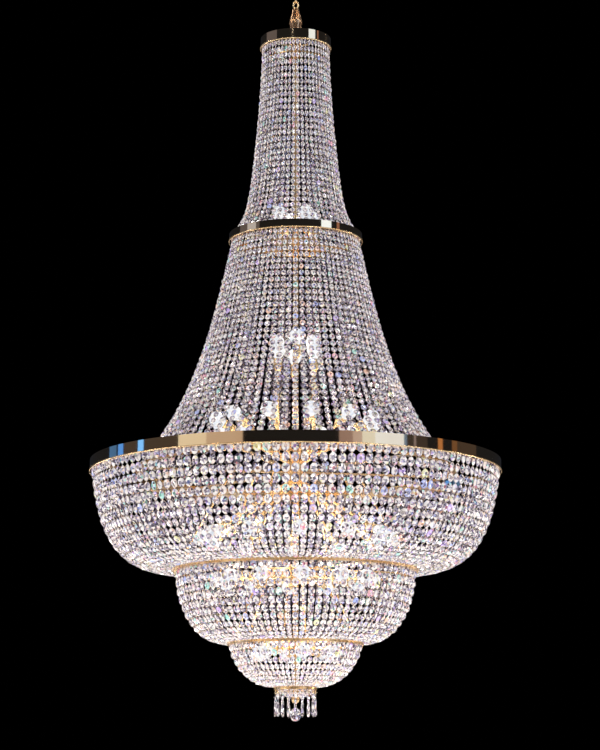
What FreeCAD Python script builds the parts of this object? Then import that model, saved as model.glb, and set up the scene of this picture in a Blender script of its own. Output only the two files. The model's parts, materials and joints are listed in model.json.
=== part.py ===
"""Crystal chandelier on a short chain: gold bands and rings on a central column, curtains of
crystal strands between them, fifty-odd lamps inside, and icicle pendants round a faceted ball.

Millimetres, +Z up. The origin is where the object hangs from: the middle of the ceiling plate's
upper face. Levels of the body are measured from the lower edge of the main band.
"""
import FreeCAD
import Part
import math
import os
import Sketcher
from FreeCAD import Placement, Rotation, Vector

doc = FreeCAD.newDocument("crystal_chandelier")
sheet = doc.addObject("Spreadsheet::Sheet", "sizes")

SIZES = [
    # ceiling fitting and chain
    ("plate_dia", 110, "ceiling plate, across"),
    ("plate_thick", 5, "ceiling plate, thickness"),
    ("plate_hole_dia", 6.6, "holes for the ceiling screws"),
    ("plate_hole_circle", 84, "circle that the ceiling screws stand on"),
    ("plate_hole_count", 4, "ceiling screws"),
    ("canopy_dia", 136, "canopy, across its rim"),
    ("canopy_depth", 86, "canopy, depth"),
    ("canopy_mouth", 50, "canopy, opening for the chain"),
    ("canopy_wall", 1.5, "canopy, wall"),
    ("canopy_screw_dia", 4, "screws that hold the canopy to the plate"),
    ("canopy_screw_count", 3, "canopy screws"),
    ("screw_play", 0.2, "play round a canopy screw in its hole"),
    ("hook_fall", 35, "ceiling to the middle of the eye"),
    ("hook_eye_radius", 10, "eye, to the middle of its wire"),
    ("hook_wire", 5, "eye, wire"),
    ("hook_shank_dia", 8, "eye, shank"),
    ("link_length", 38, "chain link, outer length"),
    ("link_width", 18, "chain link, outer width"),
    ("link_wire", 4.5, "chain link, wire"),
    ("link_count", 3, "chain links"),
    ("chain_slack", 0.3, "play where two links bear on each other"),
    ("loop_length", 26, "loop on the finial, outer length"),
    ("loop_rise", 1451.7, "main band's lower edge to the wire at the loop's top"),
    ("shank_dia", 8, "loop, shank inside the finial"),
    # column, collars and clearances
    ("column_dia", 16, "central column"),
    ("column_bore", 10, "central column, bore for the wires"),
    ("column_play", 0.2, "play round the column and the loop's shank"),
    ("column_stand", 23, "column's top over the crown spider, inside the leaf finial"),
    ("column_reach", 12, "column's foot under the base spider, inside the base finial"),
    ("collar_dia", 26, "collar under each hub"),
    ("collar_height", 8, "collar, height"),
    ("seat_gap", 0.3, "gap where a curved end meets its seat"),
    # finial over the crown
    ("finial_foot_dia", 44, "leaf finial, foot"),
    ("finial_neck_dia", 24, "leaf finial, neck"),
    ("finial_bulge_dia", 38, "leaf finial, widest"),
    ("finial_top_dia", 17, "leaf finial, top"),
    # bands
    ("crown_dia", 212, "crown band, across"),
    ("crown_height", 32, "crown band, height"),
    ("crown_rise", 1299, "crown band's lower edge over the main band's"),
    ("neck_dia", 396, "neck band, across"),
    ("neck_height", 24, "neck band, height"),
    ("neck_rise", 696, "neck band's lower edge over the main band's"),
    ("main_dia", 1200, "main band, across"),
    ("main_height", 34, "main band, height"),
    ("band_wall", 2, "wall of the bands"),
    ("crown_flange", 12, "crown band's flange, how far in"),
    ("neck_flange", 22, "neck band's flanges, how far in"),
    ("main_flange", 20, "main band's flange, how far in"),
    ("flange_thick", 2, "thickness of the flanges"),
    ("rim_out", 1.2, "rolled rim at a band's lower edge, how far out"),
    ("rim_height", 2.6, "rolled rim at a band's lower edge, height"),
    # rings of the lower tiers
    ("second_dia", 714, "second tier's ring, across"),
    ("second_fall", 288, "second tier's ring under the main band's lower edge"),
    ("third_dia", 394, "third tier's ring, across"),
    ("third_fall", 499, "third tier's ring under the main band's lower edge"),
    ("tier_ring_width", 12, "rings of the lower tiers, width"),
    ("tier_ring_height", 8, "rings of the lower tiers, height"),
    ("base_dia", 124, "base ring, across"),
    ("base_width", 18, "base ring, width"),
    ("base_height", 6, "base ring, height"),
    ("base_fall", 626, "base ring under the main band's lower edge"),
    ("skirt_ring_dia", 940, "ring that the skirt lands on, across"),
    ("skirt_ring_width", 16, "skirt ring, width"),
    ("skirt_ring_height", 4, "skirt ring, height"),
    # spiders and rods
    ("spoke_width", 14, "flat spokes of the large spiders"),
    ("spoke_thick", 5, "main spider, thickness"),
    ("small_spoke_thick", 4, "other spiders, thickness"),
    ("spoke_gap", 1, "spoke's end to the wall of its band"),
    ("spoke_count", 6, "spokes of the main, second and third spiders"),
    ("small_spoke_count", 4, "spokes of the crown, neck and base spiders"),
    ("small_spoke_width", 9, "spokes of the crown and base spiders, width"),
    ("spider_hub_dia", 56, "spider hubs"),
    ("small_hub_dia", 40, "hubs of the crown and base spiders"),
    ("rod_dia", 6, "slanting rods"),
    ("rod_top_radius", 190, "rods of the second tier, upper end from the axis"),
    ("low_rod_top_radius", 100, "rods of the third tier, upper end from the axis"),
    # crystal strands
    ("crown_count", 54, "strands of the crown"),
    ("skirt_count", 80, "strands of the skirt"),
    ("first_count", 144, "strands of the first tier"),
    ("second_count", 92, "strands of the second tier"),
    ("third_count", 66, "strands of the third tier"),
    ("dish_count", 24, "strands of the dish in the base ring"),
    ("strand_thick", 10, "strands, thickness"),
    ("dish_thick", 6, "dish strands, thickness"),
    ("strand_inset", 10, "strands' middle in from the band's or ring's outer edge"),
    ("strand_share", 0.62, "share of the spacing that a strand fills"),
    # lamps
    ("bulb_dia", 45, "golf-ball lamp, globe"),
    ("cap_dia", 18, "lamp cap"),
    ("cap_length", 22, "lamp cap, length"),
    ("bulb_neck", 27, "globe's middle to the cap"),
    ("socket_dia", 26, "lamp holder"),
    ("socket_length", 38, "lamp holder, length"),
    ("socket_play", 0.2, "play round the lamp cap"),
    ("arm_dia", 8, "lamp arms"),
    ("arm_bore", 5, "lamp arms, bore"),
    ("arm_seat", 7, "how deep an arm sits in its hub"),
    ("arm_play", 0.1, "play round an arm in its hub"),
    ("lamp_hub_dia", 48, "turned hubs of the lamps"),
    ("lamp_hub_height", 24, "turned hubs of the lamps, height"),
    ("disc_dia", 148, "plates that carry the upright lamps"),
    ("disc_thick", 4, "plates that carry the upright lamps, thickness"),
    ("tube_disc_rise", 80, "plate of the tall upright lamps, over the main band's edge"),
    ("upper_lamp_radius", 58, "upper lamps, from the axis"),
    ("upper_lamp_rise", 83, "upper lamps, globe's middle over the neck band's lower edge"),
    ("tall_lamp_radius", 62, "tall lamps, from the axis"),
    ("tall_lamp_rise", 284, "tall lamps, globe's middle over their plate"),
    ("tall_lamp_step", 36, "every second tall lamp stands higher by this"),
    ("rising_lamp_radius", 235, "rising lamps, from the axis"),
    ("rising_lamp_rise", 156, "rising lamps, globe's middle over the main band's lower edge"),
    ("falling_lamp_radius", 278, "falling lamps, from the axis"),
    ("falling_lamp_fall", 188, "falling lamps, globe's middle under the main band's lower edge"),
    ("low_lamp_radius", 226, "lamps of the second tier, from the axis"),
    ("low_lamp_fall", 22, "lamps of the second tier, globe's middle under its ring's lower edge"),
    ("lowest_lamp_radius", 115, "lamps of the third tier, from the axis"),
    ("lowest_lamp_fall", 22, "lamps of the third tier, globe's middle under its ring's lower edge"),
    ("lamps_per_spray", 12, "lamps of each spray round the main band's level and in the second tier"),
    ("tall_lamp_count", 6, "tall lamps"),
    ("upper_lamp_count", 4, "upper lamps"),
    ("lowest_lamp_count", 6, "lamps of the third tier"),
    # base finial, pendants and ball
    ("knob_dia", 22, "base finial, across"),
    ("knob_length", 44, "base finial, length"),
    ("knob_seat_share", 0.6, "how far down the base finial the dish meets it"),
    ("pendant_count", 18, "pendants"),
    ("pendant_circle", 116, "circle that the pendants hang on"),
    ("wire_ring_radius", 2.6, "small wire rings, to the middle of the wire"),
    ("wire_dia", 1.2, "small wire rings, wire"),
    ("wire_play", 0.2, "play where two wire rings bear on each other"),
    ("wire_post", 0.8, "post between a wire ring and what it hangs on"),
    ("wire_root", 2, "how deep wire is set in a crystal"),
    ("octagon_dia", 14, "pendant's octagon"),
    ("octagon_thick", 6, "pendant's octagon, thickness"),
    ("pin_gap", 1.5, "pin between the octagon and the icicle"),
    ("icicle_length", 50, "icicle"),
    ("icicle_dia", 10, "icicle, widest"),
    ("ball_dia", 34, "faceted ball, across"),
    ("ball_height", 38, "faceted ball, height"),
]
for row, (alias, value, meaning) in enumerate(SIZES, 1):
    sheet.set(f"A{row}", meaning)
    sheet.set(f"B{row}", str(value))
    sheet.setAlias(f"B{row}", alias)
doc.recompute()


def size(alias):
    return float(sheet.get(alias))


# how far the chain reaches from the eye's lower wire to the loop's upper wire
CHAIN_RUN = (
    "(sizes.link_count * (sizes.link_length - sizes.link_wire)"
    " - (sizes.hook_wire + sizes.link_wire) / 2 - sizes.link_count * sizes.link_wire"
    " - (sizes.link_count + 1) * sizes.chain_slack)"
)
# how far the main band's lower edge hangs below the ceiling
DROP = f"(sizes.hook_fall + sizes.hook_eye_radius + {CHAIN_RUN} + sizes.loop_rise)"


def chain_run():
    bearings = (size("hook_wire") + size("link_wire")) / 2 + size("link_count") * size("link_wire")
    play = (size("link_count") + 1) * size("chain_slack")
    return size("link_count") * (size("link_length") - size("link_wire")) - bearings - play


def level(rise):
    """Height in the part's frame of what lies rise above the main band's lower edge."""
    return rise - (size("hook_fall") + size("hook_eye_radius") + chain_run() + size("loop_rise"))


def level_text(rise):
    return f"{rise} - {DROP}"


# the column's ends over and under the main band's lower edge
COLUMN_TOP = "(sizes.crown_rise + sizes.flange_thick + sizes.small_spoke_thick + sizes.column_stand)"
COLUMN_FOOT = "(sizes.base_fall - sizes.base_height + sizes.column_reach)"


def column_top():
    return size("crown_rise") + size("flange_thick") + size("small_spoke_thick") + size("column_stand")


def column_foot():
    return size("base_fall") - size("base_height") + size("column_reach")


PARTS = []


def keep(item, label):
    item.Label = label
    PARTS.append(item)
    return item


def feature(label, shape):
    item = doc.addObject("Part::Feature", label)
    item.Shape = shape
    item.Placement = Placement()
    return keep(item, label)


# ---------------------------------------------------------------- shapes that repeat


def origin_plane(body, role):
    return next(f for f in body.Origin.OriginFeatures if f.Role == role)


def new_sketch(body, name, role):
    sketch = body.newObject("Sketcher::SketchObject", name)
    sketch.AttachmentSupport = (origin_plane(body, role), [""])
    sketch.MapMode = "FlatFace"
    return sketch


def closed_outline(sketch, corners):
    """A closed outline of straight lines whose corners are pinned to expressions (across, up)."""
    count = len(corners)
    values = [[float(sheet.evalExpression(text)) for text in corner] for corner in corners]
    for i in range(count):
        start = Vector(*values[i], 0)
        end = Vector(*values[(i + 1) % count], 0)
        sketch.addGeometry(Part.LineSegment(start, end))
    for i in range(count):
        sketch.addConstraint(Sketcher.Constraint("Coincident", i, 2, (i + 1) % count, 1))
    for i, corner in enumerate(corners):
        for kind, text, value in zip(("DistanceX", "DistanceY"), corner, values[i]):
            at = sketch.addConstraint(Sketcher.Constraint(kind, -1, 1, i, 1, value))
            sketch.setExpression(f"Constraints[{at}]", text)


def circle_sketch(body, name, radius, across="0"):
    sketch = new_sketch(body, name, "XY_Plane")
    middle = float(sheet.evalExpression(across))
    value = float(sheet.evalExpression(radius))
    sketch.addGeometry(Part.Circle(Vector(middle, 0, 0), Vector(0, 0, 1), value))
    at = sketch.addConstraint(Sketcher.Constraint("Radius", 0, value))
    sketch.setExpression(f"Constraints[{at}]", radius)
    if across == "0":
        sketch.addConstraint(Sketcher.Constraint("Coincident", 0, 3, -1, 1))
    else:
        sketch.addConstraint(Sketcher.Constraint("PointOnObject", 0, 3, -1))
        at = sketch.addConstraint(Sketcher.Constraint("DistanceX", -1, 1, 0, 3, middle))
        sketch.setExpression(f"Constraints[{at}]", across)
    return sketch


def turned(label, corners, rise):
    """A body of revolution: corners are (radius, height) from the level given by rise."""
    body = doc.addObject("PartDesign::Body", label)
    sketch = new_sketch(body, label + "_outline", "XZ_Plane")
    closed_outline(sketch, corners)
    turn = body.newObject("PartDesign::Revolution", label + "_turn")
    turn.Profile = sketch
    turn.ReferenceAxis = (sketch, ["V_Axis"])
    turn.Angle = 360
    body.setExpression("Placement.Base.z", rise)
    return keep(body, label)


def flat_ring(label, outer, width, height, rise):
    inner = f"({outer} - {width})"
    corners = [(inner, "0"), (outer, "0"), (outer, height), (inner, height)]
    return turned(label, corners, rise)


def band(label, dia, height, flange, rise, upper_flange=False):
    """A thin polished wall, rimmed at its foot, with a flange there and at its top if asked."""
    outer = f"sizes.{dia} / 2"
    inner = f"{outer} - sizes.band_wall"
    lip = f"{outer} - sizes.{flange}"
    thick = "sizes.flange_thick"
    top = f"sizes.{height}"
    rim = f"{outer} + sizes.rim_out"
    corners = [(lip, "0"), (rim, "0"), (rim, "sizes.rim_height"), (outer, "sizes.rim_height"), (outer, top)]
    if upper_flange:
        corners += [(lip, top), (lip, f"{top} - {thick}"), (inner, f"{top} - {thick}")]
    else:
        corners += [(inner, top)]
    corners += [(inner, thick), (lip, thick)]
    return turned(label, corners, level_text(rise))


def spider(label, hub, reach, width, thick, count, rise, turn):
    """Flat spokes round a hub with a bore for the column; turn is the first spoke's azimuth."""
    body = doc.addObject("PartDesign::Body", label)
    plate = body.newObject("PartDesign::Pad", label + "_hub")
    plate.Profile = circle_sketch(body, label + "_hub_outline", f"sizes.{hub} / 2")
    plate.setExpression("Length", f"sizes.{thick}")
    spoke_sketch = new_sketch(body, label + "_spoke_outline", "XY_Plane")
    side = f"sizes.{width} / 2"
    inner = "sizes.column_dia"
    closed_outline(spoke_sketch, [(inner, f"-{side}"), (reach, f"-{side}"), (reach, side), (inner, side)])
    spoke = body.newObject("PartDesign::Pad", label + "_spoke")
    spoke.Profile = spoke_sketch
    spoke.setExpression("Length", f"sizes.{thick}")
    doc.recompute()
    pattern = body.newObject("PartDesign::PolarPattern", label + "_spokes")
    pattern.Originals = [spoke]
    pattern.Axis = (origin_plane(body, "Z_Axis"), [""])
    pattern.Angle = 360
    pattern.setExpression("Occurrences", f"sizes.{count}")
    body.Tip = pattern
    doc.recompute()
    bore = body.newObject("PartDesign::Pocket", label + "_bore")
    bore.Profile = circle_sketch(body, label + "_bore_outline", "sizes.column_dia / 2 + sizes.column_play")
    bore.Type = 1
    bore.Midplane = True
    body.Tip = bore
    body.Placement = Placement(Vector(), Rotation(Vector(0, 0, 1), turn))
    body.setExpression("Placement.Base.z", level_text(rise))
    return keep(body, label)


def lathe(steps):
    """A solid turned about Z from an outline of (r, z) lines and (middle r, z, end r, z) arcs."""
    edges = []
    start = at = Vector(steps[0][0], 0, steps[0][1])
    for step in steps[1:] + [steps[0]]:
        end = Vector(step[-2], 0, step[-1])
        if end.isEqual(at, 1e-6):
            continue
        if len(step) == 4:
            edges.append(Part.Arc(at, Vector(step[0], 0, step[1]), end).toShape())
        else:
            edges.append(Part.LineSegment(at, end).toShape())
        at = end
    assert at.isEqual(start, 1e-6)
    return Part.Face(Part.Wire(edges)).revolve(Vector(), Vector(0, 0, 1), 360)


def polar(shape, count, first=0.0):
    """Copies of a shape round Z; first is the azimuth added to the first copy."""
    copies = []
    for i in range(int(count)):
        copy = shape.copy()
        copy.rotate(Vector(), Vector(0, 0, 1), first + 360.0 * i / int(count))
        copies.append(copy)
    return copies


def polygon(sides, radius, at, normal_x=False, spin=0.0):
    """A closed polygon wire square to Z, or to X, about the point at."""
    points = []
    for i in range(sides + 1):
        angle = math.radians(spin) + 2 * math.pi * i / sides
        a, b = radius * math.cos(angle), radius * math.sin(angle)
        points.append(at + (Vector(0, a, b) if normal_x else Vector(a, b, 0)))
    return Part.makePolygon(points)


def wire_ring(middle, radius, wire, along_x, post_up=0.0, post_down=0.0):
    """A small ring of wire whose plane holds Z and X (or Y), with a short post up or down."""
    ring = Part.makeTorus(radius, wire / 2, middle, Vector(0, 1, 0) if along_x else Vector(1, 0, 0))
    if post_up:
        foot = middle + Vector(0, 0, radius)
        ring = ring.fuse(Part.makeCylinder(wire / 2, post_up + wire / 2, foot))
    if post_down:
        foot = middle - Vector(0, 0, radius)
        ring = ring.fuse(Part.makeCylinder(wire / 2, post_down + wire / 2, foot, Vector(0, 0, -1)))
    return ring.removeSplitter()


# ---------------------------------------------------------------- ceiling fitting and chain


def ceiling_plate():
    body = doc.addObject("PartDesign::Body", "ceiling_plate")
    disc = body.newObject("PartDesign::Pad", "plate_disc")
    disc.Profile = circle_sketch(body, "plate_outline", "sizes.plate_dia / 2")
    disc.setExpression("Length", "sizes.plate_thick")
    doc.recompute()
    hole = body.newObject("PartDesign::Pocket", "plate_hole")
    hole.Profile = circle_sketch(
        body, "hole_outline", "sizes.plate_hole_dia / 2", "sizes.plate_hole_circle / 2"
    )
    hole.Type = 1
    hole.Midplane = True
    doc.recompute()
    holes = body.newObject("PartDesign::PolarPattern", "plate_holes")
    holes.Originals = [hole]
    holes.Axis = (origin_plane(body, "Z_Axis"), [""])
    holes.Angle = 360
    holes.setExpression("Occurrences", "sizes.plate_hole_count")
    body.Tip = holes
    body.setExpression("Placement.Base.z", "-sizes.plate_thick")
    return keep(body, "ceiling_plate")


def ceiling_canopy():
    rim, depth, wall = size("canopy_dia") / 2, size("canopy_depth"), size("canopy_wall")
    mouth = size("canopy_mouth") / 2
    straight = size("plate_thick") + 2 * size("canopy_screw_dia")
    waist = (rim + mouth) / 2
    middle = -(straight + depth) / 2
    shell = lathe(
        [
            (rim - wall, 0),
            (rim, 0),
            (rim, -straight),
            (waist + rim / 12, middle, mouth + wall, -depth),
            (mouth, -depth),
            (waist + rim / 12 - wall, middle + wall, rim - wall, -straight),
        ]
    )
    hole = Part.makeCylinder(
        size("canopy_screw_dia") / 2 + size("screw_play"),
        4 * wall,
        Vector(rim - 2 * wall, 0, -size("plate_thick") / 2),
        Vector(1, 0, 0),
    )
    holes = Part.makeCompound(polar(hole, size("canopy_screw_count"), 45.0))
    return feature("ceiling_canopy", shell.cut(holes))


def canopy_screws():
    """Thumb screws through the canopy's rim against the plate's edge."""
    dia = size("canopy_screw_dia")
    rim = size("canopy_dia") / 2
    seat = size("plate_dia") / 2 + size("seat_gap")
    at = -size("plate_thick") / 2
    shank = Part.makeCylinder(dia / 2, rim - seat, Vector(seat, 0, at), Vector(1, 0, 0))
    head = Part.makeCylinder(dia, dia / 2, Vector(rim + size("seat_gap"), 0, at), Vector(1, 0, 0))
    neck = Part.makeCylinder(dia / 2, size("seat_gap"), Vector(rim, 0, at), Vector(1, 0, 0))
    screw = shank.fuse([neck, head]).removeSplitter()
    return feature("canopy_screws", Part.makeCompound(polar(screw, size("canopy_screw_count"), 45.0)))


def ceiling_hook():
    """A closed eye in the plane of X and Z on a shank under the plate."""
    eye = doc.addObject("Part::Torus", "hook_eye")
    eye.setExpression("Radius1", "sizes.hook_eye_radius")
    eye.setExpression("Radius2", "sizes.hook_wire / 2")
    eye.Placement = Placement(Vector(), Rotation(Vector(1, 0, 0), 90))
    eye.setExpression("Placement.Base.z", "-sizes.hook_fall")
    shank = doc.addObject("Part::Cylinder", "hook_shank")
    shank.setExpression("Radius", "sizes.hook_shank_dia / 2")
    shank.setExpression("Height", "sizes.hook_fall - sizes.hook_eye_radius - sizes.plate_thick")
    shank.setExpression("Placement.Base.z", "-sizes.hook_fall + sizes.hook_eye_radius")
    hook = doc.addObject("Part::Fuse", "ceiling_hook")
    hook.Base = eye
    hook.Tool = shank
    return keep(hook, "ceiling_hook")


def oval_parts(name, length, turned_by, middle):
    """Two half rings and two straight sides: a link of the chain's wire and width."""
    bend = "(sizes.link_width - sizes.link_wire) / 2"
    side = f"({length} - sizes.link_width)"
    found = []
    for upper in (True, False):
        half = doc.addObject("Part::Torus", f"{name}_{'upper' if upper else 'lower'}_bend")
        half.setExpression("Radius1", bend)
        half.setExpression("Radius2", "sizes.link_wire / 2")
        half.Angle3 = 180
        stand = Rotation(Vector(1, 0, 0), 90 if upper else -90)
        half.Placement = Placement(Vector(), Rotation(Vector(0, 0, 1), turned_by).multiply(stand))
        half.setExpression("Placement.Base.z", f"{middle} {'+' if upper else '-'} {side} / 2")
        found.append(half)
    for sign in (1, -1):
        leg = doc.addObject("Part::Cylinder", f"{name}_{'right' if sign > 0 else 'left'}_side")
        leg.setExpression("Radius", "sizes.link_wire / 2")
        leg.setExpression("Height", side)
        leg.setExpression("Placement.Base.x", f"{sign} * {bend} * cos({turned_by})")
        leg.setExpression("Placement.Base.y", f"{sign} * {bend} * sin({turned_by})")
        leg.setExpression("Placement.Base.z", f"{middle} - {side} / 2")
        found.append(leg)
    return found


def chain_link(number):
    """Link 1 hangs in the eye; each link stands a quarter turn from the one above."""
    pitch = "(sizes.link_length - 2 * sizes.link_wire - sizes.chain_slack)"
    bearing = "(sizes.hook_wire + sizes.link_wire) / 2 + sizes.chain_slack"
    first_top = f"(-sizes.hook_fall - sizes.hook_eye_radius + {bearing})"
    middle = f"({first_top} - (sizes.link_length - sizes.link_wire) / 2 - {number - 1} * {pitch})"
    name = f"chain_link_{number}"
    link = doc.addObject("Part::MultiFuse", name)
    link.Shapes = oval_parts(name, "sizes.link_length", 90 if number % 2 else 0, middle)
    return keep(link, name)


def loop_middle():
    return f"({level_text('sizes.loop_rise')} + sizes.link_wire / 2 - sizes.loop_length / 2)"


def top_loop():
    """The loop over the finial, with the shank that screws into the column's top."""
    shank = doc.addObject("Part::Cylinder", "loop_shank")
    shank.setExpression("Radius", "sizes.shank_dia / 2")
    foot = f"({level_text(COLUMN_TOP)} + sizes.column_dia / 4)"
    shank.setExpression("Placement.Base.z", foot)
    shank.setExpression("Height", f"{loop_middle()} - sizes.loop_length / 2 + sizes.link_wire / 2 - {foot}")
    turned_by = 90 * ((int(size("link_count")) + 1) % 2)
    loop = doc.addObject("Part::MultiFuse", "top_loop")
    loop.Shapes = oval_parts("top_loop", "sizes.loop_length", turned_by, loop_middle()) + [shank]
    return keep(loop, "top_loop")


def leaf_finial():
    """The cast tulip over the crown, turned here; its leaves are in the relief of the casting."""
    foot = level(size("crown_rise")) + size("flange_thick") + size("small_spoke_thick")
    top = level(size("loop_rise")) + size("link_wire") / 2 - size("loop_length") - size("seat_gap")
    tall = top - foot
    wide, bulge = size("finial_foot_dia") / 2, size("finial_bulge_dia") / 2
    neck, tip = size("finial_neck_dia") / 2, size("finial_top_dia") / 2
    bore = size("column_dia") / 2 + size("column_play")
    shank = size("shank_dia") / 2 + size("column_play")
    step = level(column_top()) + size("column_dia") / 8
    return feature(
        "leaf_finial",
        lathe(
            [
                (bore, foot),
                (wide, foot),
                (wide, foot + tall * 0.05),
                (neck, foot + tall * 0.14),
                (neck, foot + tall * 0.22, neck * 1.2, foot + tall * 0.42),
                (bulge * 1.02, foot + tall * 0.62, bulge, foot + tall * 0.69),
                (bulge * 0.72, foot + tall * 0.84, tip, top),
                (shank, top),
                (shank, step),
                (bore, step),
            ]
        ),
    )


# ---------------------------------------------------------------- frame


def column():
    tube = doc.addObject("Part::Cylinder", "column_outside")
    bore = doc.addObject("Part::Cylinder", "column_inside")
    for item, dia in ((tube, "sizes.column_dia"), (bore, "sizes.column_bore")):
        item.setExpression("Radius", f"{dia} / 2")
        item.setExpression("Height", f"{COLUMN_TOP} + {COLUMN_FOOT}")
        item.setExpression("Placement.Base.z", level_text(f"-{COLUMN_FOOT}"))
    whole = doc.addObject("Part::Cut", "column")
    whole.Base = tube
    whole.Tool = bore
    return keep(whole, "column")


def hub_levels():
    """The lower face of each turned lamp hub over the main band's lower edge."""
    main_top = size("flange_thick") + size("spoke_thick")
    tall = size("lamp_hub_height")
    return {
        "upward": main_top,
        "downward": size("flange_thick") - tall,
        "second": size("tier_ring_height") - size("second_fall") - tall,
        "third": size("tier_ring_height") - size("third_fall") - tall,
    }


def neck_disc_level():
    return size("neck_rise") + size("flange_thick") + size("small_spoke_thick")


def column_collars():
    """A collar under each thing that the column carries."""
    hubs = hub_levels()
    under = [
        size("crown_rise") + size("flange_thick"),
        size("neck_rise") + size("flange_thick"),
        size("tube_disc_rise"),
        hubs["downward"],
        hubs["second"],
        hubs["third"],
    ]
    tall = size("collar_height")
    bore = size("column_dia") / 2 + size("column_play")
    made = []
    for top in under:
        foot = Vector(0, 0, level(top) - tall)
        ring = Part.makeCylinder(size("collar_dia") / 2, tall, foot)
        made.append(ring.cut(Part.makeCylinder(bore, tall, foot)))
    return feature("column_collars", Part.makeCompound(made))


SPOKE_TURN = {"main": 12.0, "second": 20.0, "third": 50.0, "neck": 33.0, "crown": 45.0, "base": 0.0}


def frame():
    band("crown_band", "crown_dia", "crown_height", "crown_flange", "sizes.crown_rise")
    band("neck_band", "neck_dia", "neck_height", "neck_flange", "sizes.neck_rise", upper_flange=True)
    band("main_band", "main_dia", "main_height", "main_flange", "0")
    flat_ring(
        "skirt_ring",
        "sizes.skirt_ring_dia / 2",
        "sizes.skirt_ring_width",
        "sizes.skirt_ring_height",
        level_text("sizes.flange_thick + sizes.spoke_thick"),
    )
    for name in ("second", "third"):
        flat_ring(
            f"{name}_tier_ring",
            f"sizes.{name}_dia / 2",
            "sizes.tier_ring_width",
            "sizes.tier_ring_height",
            level_text(f"-sizes.{name}_fall"),
        )
    flat_ring(
        "base_ring",
        "sizes.base_dia / 2",
        "sizes.base_width",
        "sizes.base_height",
        level_text("-sizes.base_fall"),
    )
    small = ("small_spoke_width", "small_spoke_thick", "small_spoke_count")
    large = ("spoke_width", "small_spoke_thick", "spoke_count")
    inside = "- sizes.band_wall - sizes.spoke_gap"
    for name, hub in (("crown", "small_hub_dia"), ("neck", "disc_dia")):
        rise = f"sizes.{name}_rise + sizes.flange_thick"
        spider(f"{name}_spider", hub, f"sizes.{name}_dia / 2 {inside}", *small, rise, SPOKE_TURN[name])
    spider(
        "main_spider",
        "spider_hub_dia",
        f"sizes.main_dia / 2 {inside}",
        "spoke_width",
        "spoke_thick",
        "spoke_count",
        "sizes.flange_thick",
        SPOKE_TURN["main"],
    )
    for name in ("second", "third"):
        rise = f"sizes.tier_ring_height - sizes.{name}_fall"
        reach = f"sizes.{name}_dia / 2 - sizes.spoke_gap"
        spider(f"{name}_tier_spider", "spider_hub_dia", reach, *large, rise, SPOKE_TURN[name])
    rise = "sizes.base_height - sizes.base_fall"
    reach = "sizes.base_dia / 2 - sizes.spoke_gap"
    spider("base_spider", "small_hub_dia", reach, *small, rise, SPOKE_TURN["base"])


def slanted_rod(top_radius, top, foot_radius, foot):
    """A round rod between two levels, cut level at both ends so that it seats on flat faces."""
    a = Vector(top_radius, 0, top)
    b = Vector(foot_radius, 0, foot)
    way = (b - a).normalize()
    spare = way * (2 * size("rod_dia"))
    rod = Part.makeCylinder(size("rod_dia") / 2, (b - a).Length + 2 * spare.Length, a - spare, way)
    far = 2 * foot_radius + 2 * top_radius
    slab = Part.makeBox(2 * far, 2 * far, top - foot, Vector(-far, -far, foot))
    return rod.common(slab)


def tier_rods():
    """Rods that carry the tier rings: from the main spider, and from the second spider."""
    half = size("tier_ring_width") / 2
    ring_top = size("tier_ring_height")
    upper = slanted_rod(
        size("rod_top_radius"),
        level(size("flange_thick")),
        size("second_dia") / 2 - half,
        level(ring_top - size("second_fall")),
    )
    lower = slanted_rod(
        size("low_rod_top_radius"),
        level(ring_top - size("second_fall")),
        size("third_dia") / 2 - half,
        level(ring_top - size("third_fall")),
    )
    count = size("spoke_count")
    rods = polar(upper, count, SPOKE_TURN["main"]) + polar(lower, count, SPOKE_TURN["second"])
    return feature("tier_rods", Part.makeCompound(rods))


# ---------------------------------------------------------------- crystal strands


def hung(r0, z0, r1, z1, shape):
    """A strand's middle line as a function of u from its top, 0, to its foot, 1: (r, z)."""
    return lambda u: (r0 + (r1 - r0) * shape(u), z0 + (z1 - z0) * u)


def crown_shape(u):
    return 0.61 * u**1.6 + 0.39 * u**14


def skirt_shape(u):
    return 0.55 * u + 0.45 * u**3.5


def bowl(r0, z0, r1, z1, power, lean):
    """A rounded bowl: down from (r0, z0), leaning in by a share, and in level to (r1, z1)."""

    def at(u):
        turn = u * math.pi / 2
        down = math.sin(turn) ** (2 / power)
        across = math.cos(turn) ** (2 / power) * (1 - lean * down) if u < 1 else 0.0
        return r1 + (r0 - r1) * across, z0 + (z1 - z0) * down

    return at


def offset(line, u, by, level_cut):
    """The point beside the middle line, by away: level at a level cut, else square to it."""
    step = 1e-3
    (ra, za), (rb, zb) = line(max(0.0, u - step)), line(min(1.0, u + step))
    long = math.hypot(rb - ra, zb - za)
    r, z = line(u)
    if level_cut:
        return Vector(r + by * long / abs(zb - za), 0, z)
    return Vector(r - by * (zb - za) / long, 0, z + by * (rb - ra) / long)


def side(line, stations, by, level_foot):
    """Points along one side of a strand; each arc takes three of them."""
    points = [offset(line, u, by, u == 0.0 or (u == 1.0 and level_foot)) for u in stations]
    if not level_foot:
        r, z = line(1.0)
        points[-1] = Vector(r, 0, z + by)
    return points


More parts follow.
